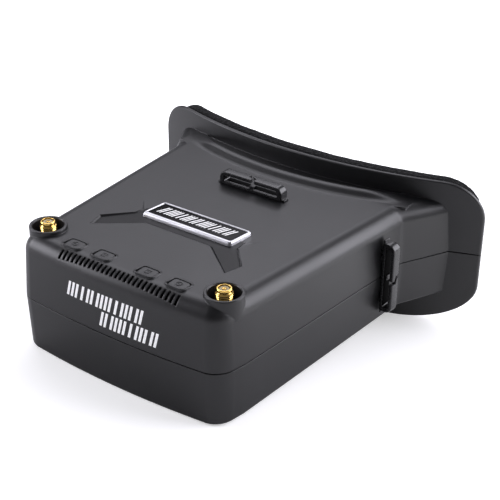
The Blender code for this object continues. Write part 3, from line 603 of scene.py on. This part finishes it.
def maths(tree, operation, a, b=0.0, c=0.0, clamp=False):
    return add(tree, "Math", {0: a, 1: b, 2: c}, operation=operation,
               use_clamp=clamp).outputs[0]


def spread(tree, value, low, high, to_low=0.0, to_high=1.0):
    return add(tree, "MapRange", {"Value": value, "From Min": low, "From Max": high,
                                  "To Min": to_low, "To Max": to_high}).outputs[0]


def object_place(tree):
    return add(tree, "TexCoord").outputs["Object"]


def per(tree, size):
    """A texture scale from the size that one cell should have, in metres."""
    return maths(tree, "DIVIDE", 1.0, size)


def vary(tree, place, scale, detail, output="Fac"):
    return add(tree, "TexNoise", {"Vector": place, "Scale": scale,
                                  "Detail": detail}).outputs[output]


def dot(tree, a, b):
    return add(tree, "VectorMath", {0: a, 1: b}, operation="DOT_PRODUCT").outputs["Value"]


def put_out(tree, outs, **values):
    for name, value in values.items():
        tree.links.new(value, outs.inputs[name])
    return tree


def make_grain_group():
    """Fine spark-eroded grain with slow drifts of tone, as on moulded plastic."""
    tree, ins, outs = new_group("moulded_grain", [("Grain Size", 0.0004), ("Drift Size", 0.03)],
                                [("Height", "Float"), ("Tone", "Float"), ("Speckle", "Float")])
    place, fine = object_place(tree), per(tree, ins.outputs["Grain Size"])
    cells = add(tree, "TexVoronoi", {"Vector": place, "Scale": fine}, feature="SMOOTH_F1")
    grit = vary(tree, place, fine, 3.0)
    drift = vary(tree, place, per(tree, ins.outputs["Drift Size"]), 4.0)
    mixed = maths(tree, "MULTIPLY", cells.outputs["Distance"], 0.6)
    return put_out(tree, outs, Height=maths(tree, "MULTIPLY_ADD", grit, 0.7, mixed),
                   Tone=spread(tree, drift, 0.3, 0.7), Speckle=spread(tree, grit, 0.35, 0.65))


def make_wear_group():
    """Where corners are rubbed: a mask along rounded edges, broken up by noise."""
    tree, ins, outs = new_group("edge_wear", [("Width", 0.0005), ("Patch Size", 0.006)],
                                [("Mask", "Float"), ("Normal", "Vector")])
    rounded = add(tree, "Bevel", {"Radius": ins.outputs["Width"]}, samples=6)
    plain = add(tree, "NewGeometry").outputs["Normal"]
    edge = spread(tree, dot(tree, rounded.outputs[0], plain), 0.995, 0.8)
    patches = vary(tree, object_place(tree), per(tree, ins.outputs["Patch Size"]), 5.0)
    broken = spread(tree, patches, 0.42, 0.62)
    return put_out(tree, outs, Mask=maths(tree, "MULTIPLY", edge, broken, clamp=True),
                   Normal=rounded.outputs[0])


def make_dust_group():
    """Thin dust that settles on upward faces."""
    tree, ins, outs = new_group("settled_dust", [("Amount", 0.3), ("Fleck Size", 0.0009)],
                                [("Mask", "Float")])
    normal = add(tree, "NewGeometry").outputs["Normal"]
    height = add(tree, "SeparateXYZ", {0: normal}).outputs["Z"]
    facing = spread(tree, height, 0.2, 0.95)
    place = object_place(tree)
    flecks = vary(tree, place, per(tree, ins.outputs["Fleck Size"]), 2.0)
    cloud = vary(tree, place, 45.0, 4.0)
    both = maths(tree, "MULTIPLY", spread(tree, flecks, 0.58, 0.75),
                 spread(tree, cloud, 0.35, 0.75))
    return put_out(tree, outs, Mask=maths(tree, "MULTIPLY", maths(tree, "MULTIPLY", both, facing),
                                          ins.outputs["Amount"], clamp=True))


def make_scratch_group():
    """Hairline marks from handling, running in two crossed directions."""
    tree, ins, outs = new_group("hairlines", [("Length", 0.008), ("Amount", 0.5)],
                                [("Height", "Float"), ("Mask", "Float")])
    place, size = object_place(tree), per(tree, ins.outputs["Length"])
    lines = []
    for turn in (0.5, 2.1):
        turned = add(tree, "Mapping", {"Vector": place, "Rotation": (0.3, turn, turn),
                                       "Scale": (1.0, 28.0, 28.0)})
        lines.append(spread(tree, vary(tree, turned.outputs[0], size, 2.0), 0.62, 0.7))
    mask = maths(tree, "MULTIPLY", maths(tree, "MAXIMUM", *lines), ins.outputs["Amount"],
                 clamp=True)
    return put_out(tree, outs, Mask=mask, Height=maths(tree, "SUBTRACT", 1.0, mask))


def make_knit_group():
    """Brushed knit cloth over foam: small interlocked cells with loose fibres."""
    tree, ins, outs = new_group("brushed_knit", [("Stitch", 0.0011)],
                                [("Height", "Float"), ("Tone", "Float")])
    place = object_place(tree)
    shift = add(tree, "VectorMath", {0: vary(tree, place, 220.0, 3.0, "Color"),
                                     1: (0.0012, 0.0012, 0.0012)}, operation="MULTIPLY")
    moved = add(tree, "VectorMath", {0: place, 1: shift.outputs[0]}, operation="ADD").outputs[0]
    cells = add(tree, "TexVoronoi", {"Vector": moved, "Scale": per(tree, ins.outputs["Stitch"])})
    loops = maths(tree, "SUBTRACT", 1.0, cells.outputs["Distance"])
    height = maths(tree, "MULTIPLY_ADD", vary(tree, moved, 2600.0, 4.0), 0.45, loops)
    return put_out(tree, outs, Height=height, Tone=spread(tree, height, 0.55, 1.25))


GRAIN, WEAR, DUST = make_grain_group(), make_wear_group(), make_dust_group()
HAIRLINES, KNIT = make_scratch_group(), make_knit_group()


def use(tree, group, **inputs):
    """Place a group in a material with its own values; underscores stand for spaces."""
    made = tree.nodes.new("ShaderNodeGroup")
    made.node_tree = group
    for key, value in inputs.items():
        made.inputs[key.replace("_", " ")].default_value = value
    return made.outputs


def new_finish(name, roughness, metallic=0.0, **fixed):
    """A material with a Principled shader whose constant sockets are set directly."""
    made = bpy.data.materials.new(name)
    made.use_nodes = True
    shader = made.node_tree.nodes["Principled BSDF"]
    shader.inputs["Roughness"].default_value = roughness
    shader.inputs["Metallic"].default_value = metallic
    for key, value in fixed.items():
        shader.inputs[key.replace("_", " ")].default_value = value
    return made, made.node_tree, shader


def blend_colour(tree, factor, a, b):
    """Mix two colours, each of them a socket or three numbers."""
    a, b = (value if isinstance(value, bpy.types.NodeSocket) else (*value, 1.0)
            for value in (a, b))
    return add(tree, "Mix", {0: factor, 6: a, 7: b}, data_type="RGBA").outputs[2]


def raise_relief(tree, shader, height, strength, depth, normal=None):
    bump = add(tree, "Bump", {"Height": height, "Strength": strength, "Distance": depth})
    if normal:
        tree.links.new(normal, bump.inputs["Normal"])
    tree.links.new(bump.outputs[0], shader.inputs["Normal"])


def plastic(name, deep, light, worn, roughness, grain_size, relief, dust=0.25, edge=0.0005,
            **fixed):
    """Moulded plastic: grain, drifting tone, rubbed edges and a little dust."""
    made, tree, shader = new_finish(name, roughness[0], **fixed)
    grain = use(tree, GRAIN, Grain_Size=grain_size)
    wear = use(tree, WEAR, Width=edge)
    settled = use(tree, DUST, Amount=dust)
    colour = blend_colour(tree, grain["Tone"], deep, light)
    colour = blend_colour(tree, wear["Mask"], colour, worn)
    colour = blend_colour(tree, settled["Mask"], colour, (0.22, 0.21, 0.2))
    tree.links.new(colour, shader.inputs["Base Color"])
    rough = spread(tree, grain["Tone"], 0.0, 1.0, roughness[0], roughness[1])
    rough = maths(tree, "MULTIPLY_ADD", wear["Mask"], -0.08, rough)
    tree.links.new(rough, shader.inputs["Roughness"])
    raise_relief(tree, shader, grain["Height"], relief, grain_size * 0.4, wear["Normal"])
    return made


def gloss(name, deep, light, roughness, scratch=0.25, edge=0.0003, metallic=0.0, **fixed):
    """A smooth surface with hairline handling marks and softened corners."""
    made, tree, shader = new_finish(name, roughness, metallic, **fixed)
    marks = use(tree, HAIRLINES, Amount=scratch)
    grain = use(tree, GRAIN, Grain_Size=0.0012, Drift_Size=0.012)
    corners = use(tree, WEAR, Width=edge)["Normal"] if edge else None
    tree.links.new(blend_colour(tree, grain["Tone"], deep, light), shader.inputs["Base Color"])
    rough = maths(tree, "MULTIPLY_ADD", grain["Speckle"], 0.04, roughness)
    rough = maths(tree, "MULTIPLY_ADD", marks["Mask"], 0.2, rough)
    tree.links.new(rough, shader.inputs["Roughness"])
    raise_relief(tree, shader, marks["Height"], 0.15, 0.00002, corners)
    return made


def foam_cloth():
    """Dark brushed cloth over foam."""
    made, tree, shader = new_finish("foam_cloth", 0.9, Specular_IOR_Level=0.12, Sheen_Weight=0.04,
                                    Sheen_Roughness=0.4)
    knit = use(tree, KNIT, Stitch=0.0011)
    grain = use(tree, GRAIN, Grain_Size=0.002, Drift_Size=0.02)
    colour = blend_colour(tree, knit["Tone"], (0.0015, 0.0015, 0.0016), (0.014, 0.014, 0.015))
    colour = blend_colour(tree, maths(tree, "MULTIPLY", grain["Tone"], 0.3), colour,
                          (0.012, 0.012, 0.0125))
    tree.links.new(colour, shader.inputs["Base Color"])
    tree.links.new(spread(tree, knit["Tone"], 0.0, 1.0, 0.95, 0.75), shader.inputs["Roughness"])
    raise_relief(tree, shader, knit["Height"], 0.8, 0.0004)
    return made


def lens_glass():
    """Clear moulded glass with faint handling marks."""
    made, tree, shader = new_finish("lens_glass", 0.03, Transmission_Weight=1.0, IOR=1.49,
                                    Base_Color=(0.93, 0.96, 0.97, 1.0))
    marks = use(tree, HAIRLINES, Amount=0.3, Length=0.02)
    tree.links.new(spread(tree, marks["Mask"], 0.0, 1.0, 0.02, 0.12), shader.inputs["Roughness"])
    raise_relief(tree, shader, marks["Height"], 0.03, 0.00001)
    return made


def floor_white():
    """White paper sweep, burnt out to plain white where it is seen directly."""
    made, tree, shader = new_finish("floor_white", 0.8, Specular_IOR_Level=0.0,
                                    Emission_Color=(1.0, 1.0, 1.0, 1.0))
    grain = use(tree, GRAIN, Grain_Size=0.02, Drift_Size=0.5)
    tree.links.new(blend_colour(tree, grain["Tone"], (0.84, 0.84, 0.84), (0.87, 0.87, 0.87)),
                   shader.inputs["Base Color"])
    seen, place = add(tree, "LightPath").outputs["Is Camera Ray"], object_place(tree)
    away = add(tree, "VectorMath", {0: place}, operation="LENGTH").outputs["Value"]
    # Seen directly the floor glows, less within half a metre of the middle, so that the real
    # shadows show there.
    lift = spread(tree, away, 0.1, 0.5, FLOOR_LIFT_NEAR, FLOOR_LIFT_FAR)
    # Painted light: unseen by the camera, the floor glows towards the back right, a patch that only
    # shows in what the case reflects.
    glow_for_reflections = spread(tree, dot(tree, place, FLOOR_PAINTED_GLOW_LEAN), 0.04, 0.22, 0.0, FLOOR_PAINTED_GLOW)
    unseen = maths(tree, "SUBTRACT", 1.0, seen)
    glow = maths(tree, "MULTIPLY_ADD", seen, lift, maths(tree, "MULTIPLY", unseen, glow_for_reflections))
    tree.links.new(glow, shader.inputs["Emission Strength"])
    return made


SHELL = plastic("shell_plastic", (0.0065, 0.0065, 0.007), (0.0085, 0.0085, 0.009),
                (0.016, 0.016, 0.017), (0.36, 0.42), 0.0004, 0.12, dust=0.05)
CLIP_GLOSS = gloss("clip_gloss", (0.006, 0.006, 0.0065), (0.01, 0.01, 0.011), 0.24)
INNER_PLASTIC = plastic("inner_plastic", (0.008, 0.008, 0.008), (0.012, 0.012, 0.012),
                        (0.02, 0.02, 0.02), (0.4, 0.5), 0.0005, 0.15, dust=0.05)
CHROME = gloss("badge_chrome", (0.5, 0.5, 0.52), (0.62, 0.62, 0.64), 0.3, metallic=1.0,
               scratch=0.0, edge=0.0)
BADGE_GLOSS = gloss("badge_gloss", (0.002, 0.002, 0.0022), (0.004, 0.004, 0.0044), 0.1,
                    scratch=0.12, Specular_IOR_Level=0.05)
GOLD = gloss("gold_plating", (0.86, 0.55, 0.13), (0.95, 0.68, 0.24), 0.16, metallic=1.0,
             scratch=0.3)
PTFE = plastic("insulator_ptfe", (0.4, 0.33, 0.16), (0.5, 0.42, 0.24), (0.6, 0.55, 0.4),
               (0.45, 0.5), 0.0006, 0.05)
# White print that also glows a little (emission 0.2): painted light that brightens the print beyond
# what its lighting gives.
GLOWING_PRINT = plastic("white_print_painted_glow", (0.78, 0.78, 0.78), (0.9, 0.9, 0.9), (0.6, 0.6, 0.6), (0.4, 0.5),
                0.0003, 0.05, dust=0.0, edge=0.0001, Emission_Color=(1.0, 1.0, 1.0, 1.0),
                Emission_Strength=0.2)
STEEL = gloss("plain_steel", (0.45, 0.45, 0.46), (0.6, 0.6, 0.61), 0.3, metallic=1.0, scratch=0.6)
BOARD = plastic("solder_mask", (0.01, 0.09, 0.03), (0.02, 0.13, 0.05), (0.05, 0.2, 0.08),
                (0.25, 0.35), 0.0008, 0.1)
WRAP = plastic("shrink_wrap", (0.02, 0.03, 0.16), (0.03, 0.045, 0.22), (0.1, 0.12, 0.3),
               (0.25, 0.35), 0.003, 0.3)
LEAD = plastic("lead_rubber", (0.006, 0.006, 0.006), (0.01, 0.01, 0.01), (0.02, 0.02, 0.02),
               (0.5, 0.6), 0.0008, 0.1)
DISPLAY = gloss("display_dark", (0.004, 0.005, 0.008), (0.007, 0.008, 0.012), 0.06,
                scratch=0.05, Coat_Weight=0.4, Coat_Roughness=0.05)
# Painted shade: a near-black, weakly reflecting finish for the sheet laid in the badge recess to
# darken it.
RECESS_PAINTED_SHADE = plastic("recess_painted_shade", (0.003, 0.003, 0.0033), (0.005, 0.005, 0.0055),
                (0.008, 0.008, 0.009), (0.3, 0.38), 0.0005, 0.08, dust=0.03,
                Specular_IOR_Level=0.16)
# Painted shade: a near-black matte finish for the blocks that fill the clip windows so they read
# dark.
PAINTED_WINDOW_SHADE = plastic("matte_painted_window_shade", (0.0015, 0.0015, 0.0015), (0.0025, 0.0025, 0.0025),
               (0.006, 0.006, 0.006), (0.85, 0.95), 0.0006, 0.3, dust=0.0,
               Specular_IOR_Level=0.08)
FOAM, LENS, FLOOR = foam_cloth(), lens_glass(), floor_white()


# ---------------------------------------------------------------- shells

def make_shells():
    """The upper and lower shells, each cut from the whole form at the seam."""
    upper = boolean(hollow_form(True), upper_additions(), "UNION")
    for cuts in (upper_cuts(), clip_slots((-1, 0, 1))):
        upper = boolean(upper, cuts)
    upper = boolean(upper, half_space(SEAM, 60.0), "INTERSECT")
    settle("upper_shell_form", tidy_shell(upper), SHELL,
           replaces=["upper_shell"])
    lower = hollow_form(False)
    for cuts in (lower_cuts(), clip_slots((-1, 1))):
        lower = boolean(lower, cuts)
    lower = boolean(lower, half_space(-60.0, -SEAM), "INTERSECT")
    lower = boolean(lower, seam_lip(), "UNION")
    settle("lower_shell_form", tidy_shell(lower), SHELL,
           replaces=["lower_shell"])


# ---------------------------------------------------------------- foam pad

def make_foam():
    """The face pad: skinned over and relaxed, with a slow swell and a fine one."""
    pad = as_mesh(face_slab(PLATE_THICK + 0.1, FOAM_THICK, FOAM_INSET, FOAM_NARROW, edge=1.2))
    pad = boolean(pad, cavity())
    work = new_object("work", pad)
    remesh = work.modifiers.new("skin", "REMESH")
    remesh.mode, remesh.voxel_size = "VOXEL", 0.85
    relax = work.modifiers.new("relax", "SMOOTH")
    relax.factor, relax.iterations = 0.5, 10
    soft = applied(work)
    bpy.data.objects.remove(work)
    for vertex in soft.vertices:
        swell = noise.noise(vertex.co * 0.09) * 0.18 + noise.noise(vertex.co * 0.45) * 0.05
        vertex.co += vertex.normal * swell
    piece = settle("foam_pad_soft", soft, FOAM, replaces=["foam_face_pad"],
                   smooth=180.0)


# ---------------------------------------------------------------- strap clips

def clip_matrix(side):
    """Where a clip sits: side is -1 or 1 for the side walls and 0 for the top."""
    if side == 0:
        spot = Vector((0.0, CLIP_TOP_Y, top_z(CLIP_TOP_Y) + GAP))
        return Matrix.Translation(spot) @ Matrix.Rotation(radians(90), 4, "X")
    lean = atan2(KINK_HALF - FRONT_HALF, KINK_Y)
    out = Vector((side * cos(lean), -sin(lean), 0.0))
    up = Vector((0.0, 0.0, 1.0))
    turned = Matrix((up, out, up.cross(out))).transposed()
    spot = Vector((side * wall_half(CLIP_SIDE_Y), CLIP_SIDE_Y, 0.0)) + out * (GAP + 0.05)
    return Matrix.Translation(spot) @ turned.to_4x4()


def clip_slots(sides):
    """The slots that the clips' pegs go into."""
    bm = bmesh.new()
    for side in sides:
        pegs = bmesh.new()
        for x in PEG_PLACES:
            box(pegs, (x - PEG_HALF - GAP, -PEG_DEEP - GAP, -PEG_THICK - GAP),
                (x + PEG_HALF + GAP, 0.5, PEG_THICK + GAP))
        bmesh.ops.transform(pegs, matrix=clip_matrix(side), verts=pegs.verts)
        add_to(bm, pegs)
    return as_mesh(bm)


def clip_loop():
    """The clip's solid outline: a foot edge and two rounded outer corners."""
    half = CLIP_LONG / 2
    outline = []
    for sign, start in ((1, 0.0), (-1, pi / 2)):
        for step in range(8):
            angle = start + pi / 2 * step / 7
            outline.append((sign * (half - CLIP_CORNER) + CLIP_CORNER * cos(angle),
                            CLIP_PROUD - CLIP_CORNER + CLIP_CORNER * sin(angle)))
    outline += [(-half, CLIP_FOOT), (half, CLIP_FOOT)]
    return as_mesh(rounded_block(outline, -CLIP_DEEP / 2, CLIP_DEEP / 2, 0.55))


def clip_window():
    """The opening that the webbing runs through."""
    bm = bmesh.new()
    inner = CLIP_LONG / 2 - 2.2
    outline = rounded_rectangle(-inner, 1.1, inner, CLIP_PROUD - CLIP_BAR, 0.7, 4)
    prism(bm, outline, -CLIP_DEEP, CLIP_DEEP)
    return as_mesh(bm)


def clip_split():
    """A stepped break in the outer bar, where the webbing is threaded in."""
    outline = [(-1.9, -3.0), (-0.3, -3.0), (-0.3, -0.7), (1.9, -0.1), (1.9, 3.0), (0.3, 3.0),
               (0.3, 0.7), (-1.9, 0.1)]
    return lofted([[(x, y, z) for x, z in outline]
                   for y in (CLIP_PROUD - CLIP_BAR - 1.0, CLIP_PROUD + 1.0)])


def make_clips():
    """Each strap clip with its pegs and feet, and a near-black matte block inside its window:
    painted shade that makes the window read dark.
    """
    for name, side in (("left", -1), ("right", 1), ("top", 0)):
        clip = boolean(boolean(clip_loop(), clip_window()), clip_split())
        pegs = bmesh.new()
        for x in PEG_PLACES:
            box(pegs, (x - PEG_HALF, -PEG_DEEP, -PEG_THICK), (x + PEG_HALF, 0.6, PEG_THICK))
        clip = boolean(clip, as_mesh(pegs), "UNION")
        feet = bmesh.new()
        box(feet, (-1.0, 0.4, -1.3), (1.0, 2.1, 1.3))
        for x0, x1 in ((-CLIP_LONG / 2 - 1.0, 1.2 - CLIP_LONG / 2),
                       (CLIP_LONG / 2 - 1.2, CLIP_LONG / 2 + 1.0)):
            foot = bmesh.new()
            box(foot, (x0, CLIP_FOOT, -1.5), (x1, 0.55, 1.5))
            soften(foot, 0.2)
            add_to(feet, foot)
        clip = boolean(clip, as_mesh(feet), "UNION")
        # Painted shade: a near-black block in the window, standing in for the shade seen through
        # it.
        window_shade = bmesh.new()
        prism(window_shade, rounded_rectangle(-12.6, 0.7, 12.6, 1.3, 0.25, 3), -1.9, 1.9 if side else 0.4)
        window_shade = as_mesh(window_shade)
        window_shade.transform(clip_matrix(side))
        settle("clip_" + name + "_painted_window_shade", window_shade, PAINTED_WINDOW_SHADE)
        clip.transform(clip_matrix(side))
        settle("clip_" + name + "_form", clip, CLIP_GLOSS,
               replaces=["strap_clip_" + name])


# ---------------------------------------------------------------- keys, badge, label

def key_icon(index, x, z):
    """A small plain engraving for each key, of a ring or square and a bar, that spells nothing."""
    radius, width, points, turn, bar = ((1.35, 0.34, 20, 0.0, (0.5, 0.17)) if index in (0, 3)
                                        else (1.6, 0.38, 4, pi / 4, (0.17, 0.4)))
    low, high = z - ICON_DEEP, z + 1.0
    outer, inner = (disc(x, KEY_Y, r, points, turn) for r in (radius, radius - width))
    bm = bmesh.new()
    loft(bm, [[(px, py, height) for px, py in outline]
              for outline, height in ((outer, low), (outer, high), (inner, high), (inner, low))],
         closed=True)
    box(bm, (x - bar[0], KEY_Y - bar[1], low), (x + bar[0], KEY_Y + bar[1], high))
    return as_mesh(bm)


def make_keys():
    """Each key cap with its engraving, the ledge that holds it in and the stem to its switch."""
    shelf = top_z(KEY_Y) - WALL - GAP - 0.8
    cap_top = top_z(KEY_Y) + 0.22
    for index, (x, name) in enumerate(zip(KEY_X, KEY_NAMES)):
        cap = as_mesh(rounded_block(key_outline(x, 0.0, KEY_ROUND), shelf - 0.4, cap_top, 0.3,
                                    segments=3))
        cap = boolean(cap, key_icon(index, x, cap_top))
        ledge, stem = bmesh.new(), bmesh.new()
        box(ledge, (x - KEY_W / 2 - 0.9, KEY_Y - KEY_D / 2, shelf - 0.9),
            (x + KEY_W / 2 + 0.9, KEY_Y + KEY_D / 2 + 1.2, shelf))
        prism(stem, disc(x, KEY_Y, 1.3, 24), BOARD_TOP + 2.9, shelf - 0.5)
        for extra in (ledge, stem):
            cap = boolean(cap, as_mesh(extra), "UNION")
        settle(name + "_cap", cap, SHELL, body=name, replaces=[name])


def make_recess_painted_shade():
    """A smooth near-black sheet over the front of the badge recess floor: painted shade that makes
    the recess read darker than its depth shades it.
    """
    shape = offset(mirrored(RECESS_FRONT + [(23.6, 47.0)]), -0.3)
    painted_shade = lofted([[(x, y, RECESS_FLOOR + lift) for x, y in offset(shape, grow)]
                    for grow, lift in ((0.0, -0.1), (0.0, 0.1), (-0.1, 0.18))])
    settle("recess_painted_shade", painted_shade, RECESS_PAINTED_SHADE)


def badge_outline(shrink):
    y0, y1 = BADGE_Y0 + 1.8 * shrink, BADGE_Y1 - shrink
    half = BADGE_HALF - shrink
    points = rounded_rectangle(-half, y0, half, y1, max(0.4, 1.2 - shrink * 0.5), 5)
    return [(x + BADGE_SLANT * (y - y0) / (y1 - y0), y) for x, y in points]


def make_badge():
    """The bright rim, the dark plate inside it and rows of plain slanted bars."""
    floor = RECESS_FLOOR + 0.05
    section = ((0.0, floor), (0.12, floor + 0.75), (0.3, BADGE_TOP - 0.25), (0.5, BADGE_TOP - 0.04),
               (0.75, BADGE_TOP + 0.03), (1.0, BADGE_TOP - 0.05), (1.12, BADGE_TOP - 0.3),
               (1.15, floor))
    rim = lofted([[(x, y, z) for x, y in badge_outline(shrink)] for shrink, z in section],
                 closed=True)
    settle("badge_rim_form", rim, CHROME, replaces=["badge_rim"],
           smooth=50.0)
    face = BADGE_TOP - 0.22
    plate = rounded_block(badge_outline(1.25), floor, face, 0.12)
    settle("badge_plate_form", as_mesh(plate), BADGE_GLOSS,
           replaces=["badge_plate"])
    marks = bmesh.new()
    middle, x = (BADGE_Y0 + BADGE_Y1) / 2 + 0.5, BADGE_START
    corners = ((0.0, -BADGE_TALL), (BADGE_BAR, -BADGE_TALL), (BADGE_BAR, BADGE_TALL),
               (0.0, BADGE_TALL))
    for count in BADGE_GROUPS:
        for index in range(count):
            prism(marks, [(x + dx + BADGE_LEAN * dy, middle + dy) for dx, dy in corners],
                  face - 0.05, face + 0.07)
            x += 2 * BADGE_BAR
        x += BADGE_SPACE
    settle("badge_marks", as_mesh(marks), GLOWING_PRINT)


def label_bar(bm, start, bottom, top):
    """A printed bar wrapped on the bowed, drafted front."""
    rings = []
    for step in range(5):
        ring = []
        for z, lift in ((bottom, -0.04), (top, -0.04), (top, 0.05), (bottom, 0.05)):
            x = start + LABEL_BAR * step / 4 + LABEL_LEAN * (z - bottom)
            ring.append((x, front_y(x) + front_inset(z) + lift, z))
        rings.append(ring)
    loft(bm, rings)


def make_label():
    """Two lines of plain printed bars on the front, in place of any wording."""
    bm = bmesh.new()
    for x, bottom, top, groups in LABEL_LINES:
        for count in groups:
            for index in range(count):
                label_bar(bm, x, bottom, top)
                x += LABEL_PITCH
            x += LABEL_SPACE
    settle("label_print", as_mesh(bm), GLOWING_PRINT)


# ---------------------------------------------------------------- connectors, lens, small parts

def threaded_collar(centre, base, tip):
    """A tube with a screw thread below its tip; the groove climbs once in each turn."""
    rim, lip = COLLAR_R + 0.2, COLLAR_R - 0.1
    head = [(COLLAR_BORE, tip), (2.45, tip), (2.62, tip - 0.07), (rim, tip - 0.22),
            (rim, tip - 0.9), (lip, tip - 1.0), (lip, tip - 1.35), (COLLAR_R, tip - 1.42)]
    tail = [(COLLAR_R + 0.25, base + 1.9), (COLLAR_R + 0.25, base), (COLLAR_BORE, base)]
    steps, turns, rows, thread_top = 96, 6, 8, tip - 1.5
    rings = []
    for step in range(steps):
        ring = list(head)
        for i in range(turns * rows):
            below = THREAD_PITCH * i / rows
            phase = (below / THREAD_PITCH + step / steps) % 1.0
            groove = THREAD_DEPTH * abs(2 * phase - 1)
            crest = (THREAD_R - COLLAR_R - groove) * min(1.0, below / 0.3)
            ring.append((COLLAR_R + crest, thread_top - below))
        angle = 2 * pi * step / steps
        rings.append([(centre[0] + r * cos(angle), centre[1] + r * sin(angle), z)
                      for r, z in ring + tail])
    return lofted(rings, closed=True)


def make_connectors():
    """The gilt collar of each antenna socket, with the nut at its foot."""
    base = BOARD_TOP + GAP
    for side, label in ((-1, "left"), (1, "right")):
        centre = (side * CUP_X, CUP_Y)
        nut = rounded_block(disc(*centre, NUT_R, 6, 0.3), base, base + NUT_THICK, 0.2, angle=40.0)
        collar = boolean(threaded_collar(centre, base, CUP_TOP + 1.6), as_mesh(nut), "UNION")
        settle("antenna_collar_" + label, collar, GOLD,
               replaces=["antenna_connector_" + label], smooth=40.0)


def make_lens():
    """A wide clear lens, flat towards the display and domed towards the eyes."""
    columns, rows = 48, 20
    middle = (LENS_LOW + LENS_HIGH) / 2

    def at(i, j, dome):
        x = LENS_HALF * (2 * i / columns - 1)
        z = LENS_LOW + (LENS_HIGH - LENS_LOW) * j / rows
        rise = LENS_DOME * (1 - (x / LENS_SPREAD) ** 2 - ((z - middle) / LENS_SPREAD) ** 2)
        return x, LENS_Y + LENS_SEAT + (rise if dome else -LENS_EDGE), z

    body = lofted([[at(i, j, False) for j in range(rows + 1)]
                   + [at(i, j, True) for j in range(rows, -1, -1)] for i in range(columns + 1)])
    settle("lens_form", body, LENS, replaces=["lens"])


def finish_packed_nodes():
    """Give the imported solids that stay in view, or inside, their own finishes."""
    finishes = {"insulator": PTFE, "contact": GOLD, "frame": INNER_PLASTIC, "screw": STEEL,
                "shield": STEEL, "switch": STEEL, "plunger": CLIP_GLOSS, "board": BOARD,
                "battery_pack": WRAP, "lead": LEAD, "lcd_panel": DISPLAY, "slider": CLIP_GLOSS,
                "charge_socket": STEEL, "av_socket": INNER_PLASTIC}
    for name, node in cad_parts.items():
        if node.hide_render:
            continue
        chosen = [made for key, made in finishes.items() if key in name]
        node.data.materials.clear()
        node.data.materials.append(chosen[0] if chosen else INNER_PLASTIC)


# ---------------------------------------------------------------- stage, light and camera

def make_stage():
    """A plain white floor and a soft sky that is brighter behind the left."""
    bm = bmesh.new()
    bmesh.ops.create_grid(bm, x_segments=1, y_segments=1, size=3.0)
    mesh = as_mesh(bm)
    mesh.materials.append(FLOOR)
    new_object("floor", mesh)
    world = bpy.data.worlds.new("studio")
    world.use_nodes = True
    tree = world.node_tree
    toward = dot(tree, add(tree, "TexCoord").outputs["Generated"], SKY_LEAN)
    glow = spread(tree, toward, -0.5, 0.9, SKY_DARK, SKY_BRIGHT)
    seen = add(tree, "LightPath").outputs["Is Camera Ray"]
    sky = tree.nodes["Background"].inputs
    tree.links.new(maths(tree, "MAXIMUM", seen, glow), sky["Strength"])
    tree.links.new(blend_colour(tree, seen, STUDIO_TINT, PLAIN_WHITE), sky["Color"])
    bpy.context.scene.world = world
    bpy.context.scene.view_settings.view_transform = "Standard"


def make_lights():
    for name, (place, aim, size, power) in SOFTBOXES.items():
        light = bpy.data.lights.new(name, "AREA")
        light.shape, light.size, light.size_y = "RECTANGLE", *size
        light.energy, light.color = power, STUDIO_TINT
        made = new_object(name, light)
        made.location = place
        made.rotation_euler = (Vector(aim) - Vector(place)).to_track_quat("-Z", "Y").to_euler()


def make_camera():
    """The viewing angle: front right and above, in the case frame."""
    back = Vector((sin(AZIMUTH) * cos(ELEVATION), -cos(AZIMUTH) * cos(ELEVATION), sin(ELEVATION)))
    right = Vector((cos(AZIMUTH), sin(AZIMUTH), 0.0))
    up = back.cross(right)
    axes = Matrix((right * cos(ROLL) + up * sin(ROLL), up * cos(ROLL) - right * sin(ROLL), back))
    lens = bpy.data.cameras.new("view")
    lens.lens, lens.sensor_width, lens.clip_start = FOCAL_LENGTH, SENSOR, 0.01
    camera = new_object("view", lens)
    camera.matrix_world = CASE @ (Matrix.Translation(Vector(CAMERA_SPOT) * MM)
                                  @ axes.transposed().to_4x4())
    bpy.context.scene.camera = camera


for make in (make_shells, make_foam, make_clips, make_keys, make_recess_painted_shade, make_badge,
             make_label, make_connectors, make_lens, finish_packed_nodes, make_stage,
             make_lights, make_camera):
    make()
